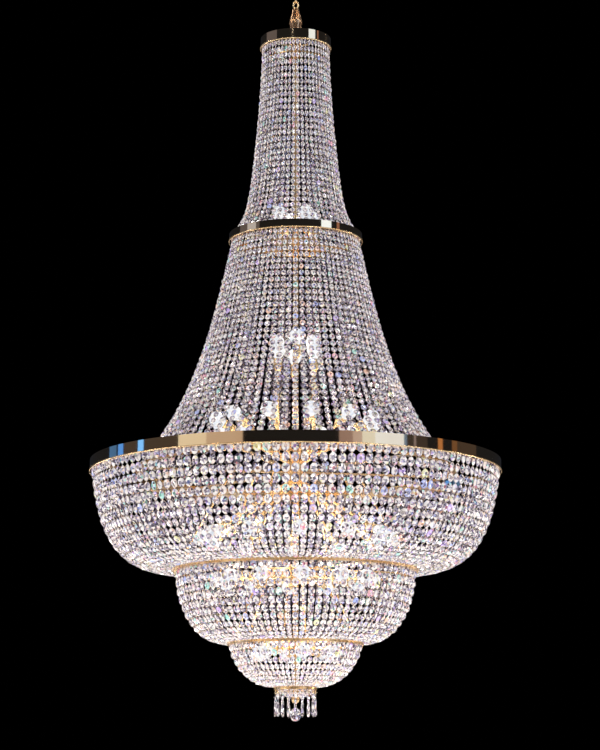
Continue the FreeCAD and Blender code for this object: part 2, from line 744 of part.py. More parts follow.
def strand(line, stations, thick, level_foot, count):
    """One strand as a slim strip along its middle line, stations being its arcs' points."""
    outer = side(line, stations, thick / 2, level_foot)
    inner = side(line, stations, -thick / 2, level_foot)
    if not level_foot:
        low, high = sorted((outer[-1], inner[-1]), key=lambda p: p.z)
        outer[-1], inner[-1] = low, high
    edges = [Part.Arc(*outer[i : i + 3]).toShape() for i in range(0, len(outer) - 2, 2)]
    edges.append(Part.LineSegment(outer[-1], inner[-1]).toShape())
    back = inner[::-1]
    edges += [Part.Arc(*back[i : i + 3]).toShape() for i in range(0, len(back) - 2, 2)]
    edges.append(Part.LineSegment(inner[0], outer[0]).toShape())
    face = Part.Face(Part.Wire(Part.__sortEdges__(edges)))
    width = size("strand_share") * 360 / count
    strip = face.revolve(Vector(), Vector(0, 0, 1), width)
    strip.rotate(Vector(), Vector(0, 0, 1), -width / 2)
    return strip


def curtain(label, line, stations, count, thick="strand_thick", level_foot=False):
    one = strand(line, stations, size(thick), level_foot, size(count))
    return feature(label, Part.makeCompound(polar(one, size(count))))


def strands():
    inset = size("strand_inset")
    gap = size("seat_gap")
    neck_top = size("neck_rise") + size("neck_height")
    crown = hung(
        size("crown_dia") / 2 - size("crown_flange") / 2,
        level(size("crown_rise")),
        size("neck_dia") / 2 - inset - size("band_wall"),
        level(neck_top),
        crown_shape,
    )
    curtain("crown_strands", crown, (0, 0.3, 0.62, 0.78, 0.9, 0.96, 1), "crown_count", level_foot=True)
    skirt = hung(
        size("neck_dia") / 2 - inset,
        level(size("neck_rise")),
        (size("skirt_ring_dia") - size("skirt_ring_width")) / 2,
        level(size("flange_thick") + size("spoke_thick") + size("skirt_ring_height")),
        skirt_shape,
    )
    curtain("skirt_strands", skirt, (0, 0.3, 0.55, 0.78, 1), "skirt_count", level_foot=True)
    lift = size("strand_thick") / 2 + 1
    arcs = (0, 0.2, 0.4, 0.58, 0.75, 0.88, 1)
    # tier, the ring it hangs from, the ring it lands on, how square the bowl is, how much it leans
    tiers = (("first", "main", "second", 3.0, 0.16),
             ("second", "second", "third", 2.5, 0.15),
             ("third", "third", "base", 2.1, 0.13))
    falls = {"main": 0.0} | {name: size(f"{name}_fall") for name in ("second", "third", "base")}
    for tier, upper, lower, power, lean in tiers:
        start = size(f"{upper}_dia") / 2 - inset
        end = size(f"{lower}_dia") / 2 + gap
        line = bowl(start, level(-falls[upper]), end, level(lift - falls[lower]), power, lean)
        curtain(f"{tier}_tier_strands", line, arcs, f"{tier}_count")
    dish = bowl(
        size("base_dia") / 2 - size("base_width") + size("dish_thick") / 2 + gap,
        level(-size("base_fall")),
        size("knob_dia") / 2 + gap,
        level(knob_seat()),
        2.0,
        0.0,
    )
    curtain("dish_strands", dish, (0, 0.25, 0.5, 0.75, 1), "dish_count", "dish_thick")


# ---------------------------------------------------------------- lamps


def lamp_bulb():
    """A golf-ball lamp, globe's middle at the origin, its cap below."""
    radius, cap = size("bulb_dia") / 2, size("cap_dia") / 2
    neck = size("bulb_neck")
    globe = Part.makeSphere(radius)
    throat = Part.makeCone(cap, radius * 0.86, neck - radius / 2, Vector(0, 0, -neck))
    base = Part.makeCylinder(cap, size("cap_length"), Vector(0, 0, -neck - size("cap_length")))
    return globe.fuse([throat, base]).removeSplitter()


def lamp_foot():
    """How far below the globe's middle the lamp holder ends."""
    return size("bulb_neck") - size("seat_gap") + size("socket_length")


def lamp_socket():
    """The holder: a gold cup whose bore takes the lamp's cap."""
    foot = lamp_foot()
    outside = Part.makeCylinder(size("socket_dia") / 2, size("socket_length"), Vector(0, 0, -foot))
    bore = size("cap_dia") / 2 + size("socket_play")
    deep = size("cap_length") + size("seat_gap")
    mouth = size("bulb_neck") - size("seat_gap")
    cavity = Part.makeCylinder(bore, deep, Vector(0, 0, -mouth - deep))
    return outside.cut(cavity)


def stand_lamp(shape, middle, way):
    """The lamp's own frame, +Z along the lamp, put at a globe's middle."""
    copy = shape.copy()
    copy.Placement = Placement(middle, Rotation(Vector(0, 0, 1), way))
    return copy


def tube(start, end):
    way = end - start
    outside = Part.makeCylinder(size("arm_dia") / 2, way.Length, start, way)
    return outside.cut(Part.makeCylinder(size("arm_bore") / 2, way.Length, start, way))


def slanted_set(hub_foot, radius, rise, count, first):
    """Lamps on straight arms out of a turned hub: (arms, hub, middles and ways)."""
    tall = size("lamp_hub_height")
    heart = Vector(0, 0, level(hub_foot) + tall / 2)
    middle = Vector(radius, 0, level(rise))
    way = (middle - heart).normalize()
    lean = math.hypot(way.x, way.y)
    start = heart + way * ((size("lamp_hub_dia") / 2 - size("arm_seat")) / lean)
    end = middle - way * lamp_foot()
    arm = tube(start, end)
    outer = size("lamp_hub_dia") / 2
    hub = Part.makeCylinder(outer, tall, Vector(0, 0, level(hub_foot)))
    bore = size("column_dia") / 2 + size("column_play")
    hub = hub.cut(Part.makeCylinder(bore, tall, Vector(0, 0, level(hub_foot))))
    drill = Part.makeCylinder(size("arm_dia") / 2 + size("arm_play"), 2 * outer, start, way)
    hub = hub.cut(Part.makeCompound(polar(drill, count, first)))
    lamps = []
    for i in range(count):
        turn = Rotation(Vector(0, 0, 1), first + 360.0 * i / count)
        lamps.append((turn.multVec(middle), turn.multVec(way)))
    return polar(arm, count, first), hub, lamps


def upright_set(disc_foot, radius, rises, count, first, with_disc):
    """Lamps upright on tubes that stand on a plate; rises are their heights in turn."""
    foot = level(disc_foot)
    thick = size("disc_thick")
    bore = size("column_dia") / 2 + size("column_play")
    disc = Part.makeCylinder(size("disc_dia") / 2, thick, Vector(0, 0, foot))
    disc = disc.cut(Part.makeCylinder(bore, thick, Vector(0, 0, foot)))
    top = foot + thick
    if not with_disc:
        disc, top = None, foot
    arms, lamps = [], []
    for i in range(count):
        turn = Rotation(Vector(0, 0, 1), first + 360.0 * i / count)
        middle = turn.multVec(Vector(radius, 0, level(rises[i % len(rises)])))
        arms.append(tube(Vector(middle.x, middle.y, top), middle - Vector(0, 0, lamp_foot())))
        lamps.append((middle, Vector(0, 0, 1)))
    return arms, disc, lamps


# azimuth of the first lamp of each set
LAMP_TURN = {"upper": 213.0, "tall": 213.0, "rising": 281.0, "falling": 272.5, "low": 275.0, "lowest": 280.0}


def lamps():
    hubs = hub_levels()
    plate = size("tube_disc_rise")
    tall = plate + size("tall_lamp_rise")
    spray = int(size("lamps_per_spray"))
    first = upright_set(
        neck_disc_level(),
        size("upper_lamp_radius"),
        (size("neck_rise") + size("upper_lamp_rise"),),
        int(size("upper_lamp_count")),
        LAMP_TURN["upper"],
        with_disc=False,
    )
    second = upright_set(
        plate,
        size("tall_lamp_radius"),
        (tall, tall + size("tall_lamp_step")),
        int(size("tall_lamp_count")),
        LAMP_TURN["tall"],
        with_disc=True,
    )
    upward = slanted_set(
        hubs["upward"], size("rising_lamp_radius"), size("rising_lamp_rise"), spray, LAMP_TURN["rising"]
    )
    downward = slanted_set(
        hubs["downward"], size("falling_lamp_radius"), -size("falling_lamp_fall"), spray, LAMP_TURN["falling"]
    )
    low = slanted_set(
        hubs["second"],
        size("low_lamp_radius"),
        -size("second_fall") - size("low_lamp_fall"),
        spray,
        LAMP_TURN["low"],
    )
    lowest = slanted_set(
        hubs["third"],
        size("lowest_lamp_radius"),
        -size("third_fall") - size("lowest_lamp_fall"),
        int(size("lowest_lamp_count")),
        LAMP_TURN["lowest"],
    )
    feature("upper_lamp_arms", Part.makeCompound(first[0] + second[0]))
    feature("middle_lamp_arms", Part.makeCompound(upward[0] + downward[0]))
    feature("lower_lamp_arms", Part.makeCompound(low[0] + lowest[0]))
    sets = (first, second, upward, downward, low, lowest)
    feature("lamp_hubs", Part.makeCompound([s[1] for s in sets if s[1]]))
    everyone = [lamp for s in sets for lamp in s[2]]
    for label, shape in (("lamp_sockets", lamp_socket()), ("lamp_bulbs", lamp_bulb())):
        feature(label, Part.makeCompound([stand_lamp(shape, *lamp) for lamp in everyone]))
    return everyone


# ---------------------------------------------------------------- base finial, pendants, ball


def knob_top():
    return -size("base_fall") + size("base_height")


def knob_seat():
    """Where the dish's strands meet the base finial."""
    return knob_top() - size("knob_length") * size("knob_seat_share")


def base_finial():
    """The knob under the base spider; the column ends in it and the ball hangs from its ring."""
    top, foot = level(knob_top()), level(knob_top() - size("knob_length"))
    tall = top - foot
    outer = size("knob_dia") / 2
    bore = size("column_dia") / 2 + size("column_play")
    end = level(-column_foot()) - size("column_dia") / 8
    body = lathe(
        [
            (bore, top),
            (outer, top),
            (outer, foot + tall * 0.3),
            (outer * 1.05, foot + tall * 0.18, outer * 0.4, foot),
            (0, foot),
            (0, end),
            (bore, end),
        ]
    )
    wire, ring = 1.3 * size("wire_dia"), 1.2 * size("wire_ring_radius")
    middle = Vector(0, 0, foot - size("wire_post") - wire / 2 - ring)
    hook = wire_ring(middle, ring, wire, True, post_up=size("wire_post"))
    return feature("base_finial", body.fuse(hook).removeSplitter())


def hanging_ring(scale_ring, scale_wire, seat):
    """Where a piece's own ring hangs in a fixed one under seat: (bar's height, ring's middle)."""
    ring, wire = scale_ring * size("wire_ring_radius"), scale_wire * size("wire_dia")
    bar = seat - size("wire_post") - wire / 2 - 2 * ring
    return bar, bar + wire + size("wire_play") - ring


def crystal_ball():
    """A faceted ball on a ring of wire."""
    seat = level(knob_top() - size("knob_length"))
    wire, ring = 1.3 * size("wire_dia"), 1.2 * size("wire_ring_radius")
    bar, middle = hanging_ring(1.2, 1.3, seat)
    loop = wire_ring(Vector(0, 0, middle), ring, wire, False, post_down=size("wire_post") + size("wire_root"))
    top = middle - ring - wire / 2 - size("wire_post")
    tall, wide = size("ball_height"), size("ball_dia") / 2
    rings = []
    for step, angle in enumerate((12, 38, 64, 90, 116, 142, 168)):
        sweep = math.radians(angle)
        z = top - tall / 2 * (1 - math.cos(sweep) / math.cos(math.radians(12)))
        rings.append(polygon(12, wide * math.sin(sweep), Vector(0, 0, z), spin=15.0))
    ball = Part.makeLoft(rings, True, True)
    return feature("crystal_ball", ball.fuse(loop))


def pendant_hooks():
    """Small fixed rings of wire under the base ring, one for each pendant."""
    wire, ring = size("wire_dia"), size("wire_ring_radius")
    seat = level(-size("base_fall"))
    middle = Vector(size("pendant_circle") / 2, 0, seat - size("wire_post") - wire / 2 - ring)
    hook = wire_ring(middle, ring, wire, False, post_up=size("wire_post"))
    count = size("pendant_count")
    return feature("pendant_hooks", Part.makeCompound(polar(hook, count, 180.0 / count)))


def pendant():
    """An octagon and an icicle on a ring of wire, hung on the circle's +X side."""
    wire, ring = size("wire_dia"), size("wire_ring_radius")
    seat = level(-size("base_fall"))
    bar, middle = hanging_ring(1.0, 1.0, seat)
    out = size("pendant_circle") / 2
    root = size("wire_root")
    loop = wire_ring(Vector(out, 0, middle), ring, wire, True, post_down=size("wire_post") + root)
    top = middle - ring - wire / 2 - size("wire_post")
    half, thick = size("octagon_dia") / 2, size("octagon_thick") / 2
    flat = half * math.cos(math.pi / 8)
    heart = Vector(out, 0, top - flat)
    faces = [(-thick, 0.55), (0.0, 1.0), (thick, 0.55)]
    octagon = Part.makeLoft(
        [polygon(8, half * share, heart + Vector(x, 0, 0), True, 22.5) for x, share in faces], True, True
    )
    under = top - 2 * flat
    pin_top = Vector(out, 0, under + root)
    pin = Part.makeCylinder(wire / 2, size("pin_gap") + 2 * root, pin_top, Vector(0, 0, -1))
    head = under - size("pin_gap")
    tall, wide = size("icicle_length"), size("icicle_dia") / 2
    # shares of the icicle's length from its head, and of its widest radius
    cuts = [(0.0, 0.45), (0.12, 0.72), (0.3, 0.62), (0.82, 1.0), (1.0, 0.12)]
    hexagons = []
    for down, share in cuts:
        hexagons.append(polygon(6, wide * share, Vector(out, 0, head - tall * down), spin=30.0))
    icicle = Part.makeLoft(hexagons, True, True)
    return octagon.fuse([loop, pin, icicle])


def pendants():
    one = pendant()
    count = int(size("pendant_count"))
    for number in range(1, count + 1):
        item = feature(f"pendant_{number:02d}", one)
        item.Placement = Placement(Vector(), Rotation(Vector(0, 0, 1), 360.0 * (number - 0.5) / count))


# ---------------------------------------------------------------- the whole

ceiling_plate()
ceiling_canopy()
canopy_screws()
ceiling_hook()
for link_number in range(1, int(size("link_count")) + 1):
    chain_link(link_number)
top_loop()
leaf_finial()
column()
column_collars()
frame()
tier_rods()
strands()
lamps()
base_finial()
pendant_hooks()
pendants()
crystal_ball()

doc.recompute()
for item in doc.Objects:
    if "Invalid" in item.State or "Error" in item.State:
        raise RuntimeError(f"{item.Label} did not build: {item.State}")
for item in PARTS:
    if item.Shape.isNull() or not item.Shape.isValid():
        raise RuntimeError(f"{item.Label} has no sound shape")
os.makedirs("parts", exist_ok=True)
for item in PARTS:
    item.Shape.exportStep(f"parts/{item.Label}.step")
print(len(PARTS), "parts")
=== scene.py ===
"""Looks of the crystal chandelier: wired octagon beads in every curtain, polished gold bands,
golf-ball lamps on gold tubes, a leaf finial, and icicle pendants round a faceted ball.

The frame is in metres, +Z up, the ceiling at z = 0. The pieces' own sizes here are millimetres,
and their levels are measured from the lower edge of the main band, as in the part's source.
"""
import json
import math
from typing import Callable, NamedTuple

import bpy
import numpy as np
from mathutils import Matrix, Quaternion, Vector

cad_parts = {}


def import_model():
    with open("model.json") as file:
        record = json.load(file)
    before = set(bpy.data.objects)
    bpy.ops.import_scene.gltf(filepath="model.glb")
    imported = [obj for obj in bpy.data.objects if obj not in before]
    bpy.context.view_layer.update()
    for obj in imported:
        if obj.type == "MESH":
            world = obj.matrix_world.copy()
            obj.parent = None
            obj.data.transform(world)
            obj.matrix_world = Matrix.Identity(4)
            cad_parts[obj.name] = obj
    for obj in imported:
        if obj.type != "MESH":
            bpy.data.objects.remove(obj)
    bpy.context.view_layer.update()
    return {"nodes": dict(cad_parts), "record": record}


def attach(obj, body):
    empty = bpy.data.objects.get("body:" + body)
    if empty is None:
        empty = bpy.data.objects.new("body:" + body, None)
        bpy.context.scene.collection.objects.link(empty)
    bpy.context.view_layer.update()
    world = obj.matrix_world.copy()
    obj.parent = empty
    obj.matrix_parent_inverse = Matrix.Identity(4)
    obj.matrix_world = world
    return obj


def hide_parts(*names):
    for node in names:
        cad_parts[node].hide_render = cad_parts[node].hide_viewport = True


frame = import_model()

MM = 0.001
EDGE = -1.57775  # the main band's lower edge, in metres
RISE = Matrix.Translation((0, 0, EDGE)) @ Matrix.Scale(MM, 4)  # from levels in mm to the frame
TAU = 2 * math.pi


def z_at(rise):
    """Height in the frame of what lies rise millimetres above the main band's lower edge."""
    return EDGE + rise * MM


# ---------------------------------------------------------------- materials


class Nodes:
    """A material's node tree with short names for what is used most."""

    def __init__(self, name):
        self.material = bpy.data.materials.new(name)
        self.material.use_nodes = True
        self.tree = self.material.node_tree
        self.tree.nodes.clear()
        self.out = self.add("ShaderNodeOutputMaterial")

    def add(self, kind, **settings):
        node = self.tree.nodes.new(kind)
        for key, value in settings.items():
            setattr(node, key, value)
        return node

    def link(self, source, target):
        self.tree.links.new(source, target)

    def principled(self, **values):
        """A Principled shader with values on its own sockets, as in Coat_Weight=0.5."""
        node = self.add("ShaderNodeBsdfPrincipled")
        for socket, value in values.items():
            node.inputs[socket.replace("_", " ")].default_value = value
        return node

    def ramp(self, source, *stops, constant=False):
        """Colours at their places along a value, blended, or each held until the next."""
        node = self.add("ShaderNodeValToRGB")
        ramp = node.color_ramp
        if constant:
            ramp.interpolation = "CONSTANT"
        while len(ramp.elements) < len(stops):
            ramp.elements.new(1.0)
        for element, (at, colour) in zip(ramp.elements, stops):
            element.position = at
            element.color = (*colour, 1.0)
        self.link(source, node.inputs["Fac"])
        return node.outputs["Color"]

    def noise(self, scale, detail=3.0):
        """Noise in the piece's own coordinates."""
        where = self.add("ShaderNodeTexCoord")
        texture = self.add("ShaderNodeTexNoise")
        texture.inputs["Scale"].default_value = scale
        texture.inputs["Detail"].default_value = detail
        self.link(where.outputs["Object"], texture.inputs["Vector"])
        return texture.outputs["Fac"]

    def spread(self, source, low, high):
        """A value from 0 to 1 spread from low to high."""
        node = self.add("ShaderNodeMapRange")
        node.inputs["To Min"].default_value = low
        node.inputs["To Max"].default_value = high
        self.link(source, node.inputs["Value"])
        return node.outputs["Result"]

    def bump(self, source, strength):
        node = self.add("ShaderNodeBump")
        node.inputs["Strength"].default_value = strength
        node.inputs["Distance"].default_value = MM
        self.link(source, node.inputs["Height"])
        return node.outputs["Normal"]

    def ended(self, shader):
        """The material, its tree ended with this shader's output."""
        self.link(shader, self.out.inputs["Surface"])
        return self.material


def gold(name, colour, dark, rough, ripple=0.03, grain=90.0, metal=0.8):
    """Plated brass: slow changes of tone and polish, and a faint ripple; lacquer dims it.

    rough is the least and greatest roughness, and grain how fine the changes are.
    """
    n = Nodes(name)
    shader = n.principled(Metallic=metal)
    slow = n.noise(grain * 0.12)
    fine = n.noise(grain, detail=5.0)
    n.link(n.ramp(slow, (0.3, dark), (0.65, colour)), shader.inputs["Base Color"])
    n.link(n.spread(fine, *rough), shader.inputs["Roughness"])
    n.link(n.bump(fine, ripple), shader.inputs["Normal"])
    return n.ended(shader.outputs["BSDF"])


# A crystal face's facet attribute picks its tone: a neutral one up to NEUTRAL_TO, the last of
# them dark, and from FIRE_FROM to 1 a colour that the glass splits off. The dark tone also
# serves as painted shade on faces that look into the chandelier.
NEUTRAL_STARTS = (0.0, 0.24, 0.4, 0.53)
PAINTED_SHADE_FROM, NEUTRAL_TO, FIRE_FROM = 0.54, 0.66, 0.67
FIRE = (
    (FIRE_FROM, (0.3, 0.42, 1.0)),
    (0.75, (1.0, 0.5, 0.25)),
    (0.81, (0.55, 0.3, 1.0)),
    (0.87, (0.25, 0.85, 0.7)),
    (0.92, (1.0, 0.25, 0.4)),
    (0.96, (0.9, 0.9, 0.3)),
)
CLEAR_TONES = ((0.98, 0.98, 1.0), (0.86, 0.86, 1.0), (1.0, 0.88, 0.95), (0.5, 0.46, 0.58))
GLARE_TONES = ((1.0, 0.97, 0.93), (0.42, 0.38, 0.48), (1.0, 0.88, 0.78), (0.08, 0.06, 0.1))
LEAD_GLASS_IOR = 1.6


def crystal(name, clear, glassy, neutral, pale):
    """Cut lead crystal: glass whose facets carry a touch of the colours it splits.

    clear is the share of light that it lets through to what is behind it. glassy is how much of
    a facet is see-through; the rest is the white glare of its cuts. neutral are the four neutral
    tones, and pale is the share of white in the coloured ones.
    """
    n = Nodes(name)
    glass = n.principled(Roughness=0.0, IOR=LEAD_GLASS_IOR, Transmission_Weight=glassy)
    facet = n.add("ShaderNodeAttribute", attribute_name="facet")
    tones = list(zip(NEUTRAL_STARTS, neutral))
    tones += [(at, tuple(c + (1 - c) * pale for c in colour)) for at, colour in FIRE]
    n.link(n.ramp(facet.outputs["Fac"], *tones, constant=True), glass.inputs["Base Color"])
    path = n.add("ShaderNodeLightPath")
    shade = n.add("ShaderNodeBsdfTransparent")
    shade.inputs["Color"].default_value = (clear, clear, clear, 1.0)
    mix = n.add("ShaderNodeMixShader")
    n.link(path.outputs["Is Shadow Ray"], mix.inputs["Fac"])
    n.link(glass.outputs["BSDF"], mix.inputs[1])
    n.link(shade.outputs["BSDF"], mix.inputs[2])
    return n.ended(mix.outputs["Shader"])


def lamp_glow():
    """The lit globe of cut glass: each facet glows a little warmer or cooler than the next."""
    n = Nodes("lamp_globe")
    shader = n.principled(Roughness=0.12, Coat_Weight=0.5, Emission_Strength=0.85)
    body = n.ramp(n.noise(60.0), (0.2, (0.12, 0.12, 0.14)), (0.8, (0.2, 0.19, 0.18)))
    n.link(body, shader.inputs["Base Color"])
    facet = n.add("ShaderNodeAttribute", attribute_name="facet")
    glow = n.ramp(
        facet.outputs["Fac"],
        (0.0, (0.6, 0.65, 0.74)),
        (0.35, (0.82, 0.87, 0.94)),
        (0.6, (0.9, 0.93, 1.0)),
        (1.0, (1.0, 0.95, 0.88)),
    )
    n.link(glow, shader.inputs["Emission Color"])
    return n.ended(shader.outputs["BSDF"])


def matt(name, colour, other, rough):
    """A dull surface whose colour wanders slowly between two."""
    n = Nodes(name)
    shader = n.principled(Roughness=rough)
    n.link(n.ramp(n.noise(3.0), (0.3, colour), (0.7, other)), shader.inputs["Base Color"])
    return n.ended(shader.outputs["BSDF"])


GOLD = gold("plated_gold", (1.0, 0.76, 0.44), (0.93, 0.6, 0.28), rough=(0.16, 0.3))
# a deeper orange gold: a painted reflection of gold in gold, for the skirt ring
PAINTED_REFLECTION_GOLD = gold("gold_painted_reflection", (1.0, 0.64, 0.24), (0.9, 0.46, 0.14), rough=(0.12, 0.24))
# a darker, browner gold: painted shade, for the rings and the knob inside and under the crystal
PAINTED_SHADE_GOLD = gold("gold_with_painted_shade", (0.95, 0.66, 0.34), (0.7, 0.42, 0.18), rough=(0.2, 0.34), metal=0.9)
BAND = gold(
    "polished_band", (0.98, 0.74, 0.46), (0.9, 0.64, 0.38), rough=(0.03, 0.08),
    ripple=0.008, grain=40.0, metal=1.0,
)
SCREW = gold("screw_brass", (0.9, 0.62, 0.28), (0.8, 0.52, 0.2), rough=(0.22, 0.34))
WIRE = gold("bead_wire", (0.95, 0.82, 0.6), (0.8, 0.66, 0.45), rough=(0.2, 0.35))
HOLDER = gold("lamp_holder", (1.0, 0.78, 0.44), (0.92, 0.66, 0.32), rough=(0.2, 0.32))
CAST = gold(
    "cast_leaves", (1.0, 0.68, 0.4), (0.4, 0.2, 0.09), rough=(0.14, 0.3),
    ripple=0.1, grain=120.0, metal=0.92,
)
TABLE = crystal("crystal_table", clear=0.4, glassy=0.8, neutral=CLEAR_TONES, pale=0.2)
CLEAR = crystal("crystal_clear", clear=0.8, glassy=1.0, neutral=CLEAR_TONES, pale=0.0)
CUTS = crystal("crystal_cuts", clear=0.15, glassy=0.45, neutral=GLARE_TONES, pale=0.35)
GLOBE = lamp_glow()


# ---------------------------------------------------------------- meshes
# a mesh is a pair, its points and its faces


def mesh_piece(
    name, mesh, material, node=None, body="chandelier", facet=None, cuts=None, smooth=False
):
    """One mesh object that rides a body, in the place of a CAD node where one is named.

    facet is the tone of each face of a crystal, and cuts says which of its faces are not tables.
    """
    points, faces = mesh
    data = bpy.data.meshes.new(name)
    data.from_pydata(points, [], faces)
    if facet is not None:
        layer = data.attributes.new("facet", "FLOAT", "FACE")
        layer.data.foreach_set("value", np.asarray(facet, dtype=np.float32))
    data.materials.append(material)
    if cuts is not None:
        data.materials.append(CUTS)
        data.polygons.foreach_set("material_index", np.asarray(cuts, dtype=np.int32))
    if smooth:
        data.polygons.foreach_set("use_smooth", [True] * len(data.polygons))
    data.update()
    obj = bpy.data.objects.new(name, data)
    bpy.context.scene.collection.objects.link(obj)
    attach(obj, body)
    if node:
        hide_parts(node)
    return obj


def many(mesh, places):
    """The mesh repeated at each 4x4 place."""
    points, faces = mesh
    base = np.c_[np.asarray(points), np.ones(len(points))]
    all_points = np.einsum("nij,kj->nki", np.asarray(places), base)[..., :3].reshape(-1, 3)
    all_faces = []
    for first in range(0, len(all_points), len(base)):
        all_faces += [tuple(v + first for v in face) for face in faces]
    return all_points, all_faces


def joined(*meshes):
    points, faces = [], []
    for more_points, more_faces in meshes:
        shift = len(points)
        points += [tuple(p) for p in more_points]
        faces += [tuple(v + shift for v in face) for face in more_faces]
    return points, faces


def lathe(profile, steps, closed=False):
    """A mesh turned about Z from (radius, height) pairs; closed joins the last to the first."""
    points, faces, rows = [], [], []
    turns = [TAU * i / steps for i in range(steps)]
    for r, z in profile:
        around = turns[:1] if r == 0 else turns
        rows.append(range(len(points), len(points) + len(around)))
        points += [(r * math.cos(turn), r * math.sin(turn), z) for turn in around]
    pairs = list(zip(rows, rows[1:])) + ([(rows[-1], rows[0])] if closed else [])
    for low, high in pairs:
        for i in range(steps):
            j = (i + 1) % steps
            corners = [row[k % len(row)] for row, k in ((low, i), (low, j), (high, j), (high, i))]
            faces.append(tuple(dict.fromkeys(corners)))
    return points, faces


def round_section(radius, height, thick, sides=10):
    """The outline of a round wire at a radius and height, for a closed ring."""
    angles = [TAU * i / sides for i in range(sides)]
    return [(radius + thick * math.cos(a), height + thick * math.sin(a)) for a in angles]


def torus(middle, radius, thick, across):
    """A wire ring whose plane holds Z and the direction across."""
    points, faces = lathe(round_section(radius, 0, thick, sides=8), 28, closed=True)
    normal = Vector((0, 0, 1)).cross(Vector(across))
    place = Matrix.Translation(middle) @ normal.to_track_quat("Z", "Y").to_matrix().to_4x4()
    return [tuple(place @ Vector(p)) for p in points], faces


def upright_pin(out, foot, top, radius):
    """A short wire standing out from the axis by so much, from level foot to level top."""
    points, faces = lathe([(0, foot), (radius, foot), (radius, top), (0, top)], 8)
    return [(x + out, y, z) for x, y, z in points], faces


def faceted(rows, sides, out=0.0):
    """A cut solid from (radius, height) rows, each turned half a side from the one before."""
    points, faces, rings = [], [], []
    for row, (radius, height) in enumerate(rows):
        around = 1 if radius == 0 else sides
        rings.append(range(len(points), len(points) + around))
        for i in range(around):
            turn = TAU * (i + 0.5 * (row % 2)) / sides
            points.append((out + radius * math.cos(turn), radius * math.sin(turn), height))
    for row, (low, high) in enumerate(zip(rings, rings[1:])):
        for i in range(sides):
            j = (i + 1) % sides
            if len(high) == 1:
                faces.append((low[i], low[j], high[0]))
            elif len(low) == 1:
                faces.append((low[0], high[j], high[i]))
            elif row % 2:
                faces += [(low[i], high[j], high[i]), (low[i], low[j], high[j])]
            else:
                faces += [(low[i], low[j], high[i]), (low[j], high[j], high[i])]
    if len(rings[0]) > 1:
        faces.append(tuple(reversed(rings[0])))
    if len(rings[-1]) > 1:
        faces.append(tuple(rings[-1]))
    return points, faces


def grid_faces(rows, columns, closed=False):
    """The quads between rows + 1 rows of points; closed joins each row's last to its first."""
    faces = []
    for low in range(0, rows * columns, columns):
        high = low + columns
        for i in range(columns if closed else columns - 1):
            j = (i + 1) % columns
            faces.append((low + i, low + j, high + j, high + i))
    return faces


# ---------------------------------------------------------------- beads

BEAD_SIDES = 8
BEAD_FACES = 5 * BEAD_SIDES + 2  # of bead_mesh: five for each side, then the two tables
INNER_FACES = [face for face in range(BEAD_FACES - 1) if face % 5 < 2]
LONE_FIRE = 0.1  # share of single faces with a colour
LIT_FACES = 0.5  # share of the faces with its colour on a bead that is lit


def bead_mesh(table=0.42, thick=0.5, girdle=0.09):
    """A cut octagon of half width 1 in the plane of X and Z, thick along Y to either side.

    The first two of the five faces of each side look in, to -Y, and so does the first table.
    """
    points, faces = [], []
    rows = ((table, -thick, 0.5), (1.0, -girdle, 0.0), (1.0, girdle, 0.0), (table, thick, 0.5))
    for radius, depth, shift in rows:
        for i in range(BEAD_SIDES):
            angle = TAU * (i + 0.5 + shift) / BEAD_SIDES
            points.append((radius * math.cos(angle), depth, radius * math.sin(angle)))
    a, b, c, d = (range(k, k + BEAD_SIDES) for k in range(0, len(points), BEAD_SIDES))
    for i in range(BEAD_SIDES):
        j = (i + 1) % BEAD_SIDES
        faces += [(a[i], b[j], b[i]), (a[i], a[j], b[j]), (b[i], b[j], c[j], c[i])]
        faces += [(c[i], c[j], d[i]), (c[j], d[j], d[i])]
    return points, faces + [tuple(reversed(a)), tuple(d)]


def facet_tones(rng, beads, faces, fire=0.07, painted_inner_shade=0.0):
    """A tone for each face of each bead: mostly neutral, with fire on a share of the beads.

    The last argument is the share of painted shade: so many of the faces that look into the
    chandelier take the dark tone.
    """
    tones = rng.random((beads, faces)) * NEUTRAL_TO
    # painted shade: a share of the faces that look into the chandelier take the dark tone,
    # standing for the shade inside the curtain
    for face in INNER_FACES if painted_inner_shade else ():
        dark = rng.random(beads) < painted_inner_shade
        tones[dark, face] = rng.uniform(PAINTED_SHADE_FROM, NEUTRAL_TO, dark.sum())
    lone = rng.random((beads, faces)) < LONE_FIRE
    tones[lone] = rng.uniform(FIRE_FROM, 1.0, lone.sum())
    lit = (rng.random(beads) < fire)[:, None] & (rng.random((beads, faces)) < LIT_FACES)
    colour = rng.uniform(FIRE_FROM, 1.0, (beads, 1))
    tones[lit] = np.broadcast_to(colour, tones.shape)[lit]
    return tones.ravel()


# ---------------------------------------------------------------- curtains of beads
# a line is a function of u, from 0 at its top to 1 at its foot, that gives (radius, level)

BEAD_TWIST = 0.12  # how far a bead turns about its wire, in radians
TWIST_KEPT = 0.6  # share of that turn that the next bead down keeps
BEAD_SWAY = 0.4  # how far a bead stands in or out of its line
LEVEL_STRAND = 0.2  # a strand that falls by less than this share of its length lies level
WIRE_ROWS = ((0.55, -3.2), (0.825, 0.0), (0.55, 3.2))  # (radius, height) along a wire's loop


class Curtain(NamedTuple):
    """One curtain of strands."""

    name: str
    line: Callable
    strands: int
    ends: tuple  # how far the first and last bead are from the line's ends
    pitches: tuple  # pitch of the beads at the top and at the foot
    fill: float  # share of the room between two strands that a bead fills
    widest: float  # greatest width of a bead
    apart: float  # room between the beads of a strand
    painted_inner_shade: float  # share of the beads' inner faces painted dark: painted shade


def hung(top, foot, shape):
    """A line from top to foot, (radius, level) both, its radius growing as shape does."""
    (r0, z0), (r1, z1) = top, foot
    return lambda u: (r0 + (r1 - r0) * shape(u), z0 + (z1 - z0) * u)


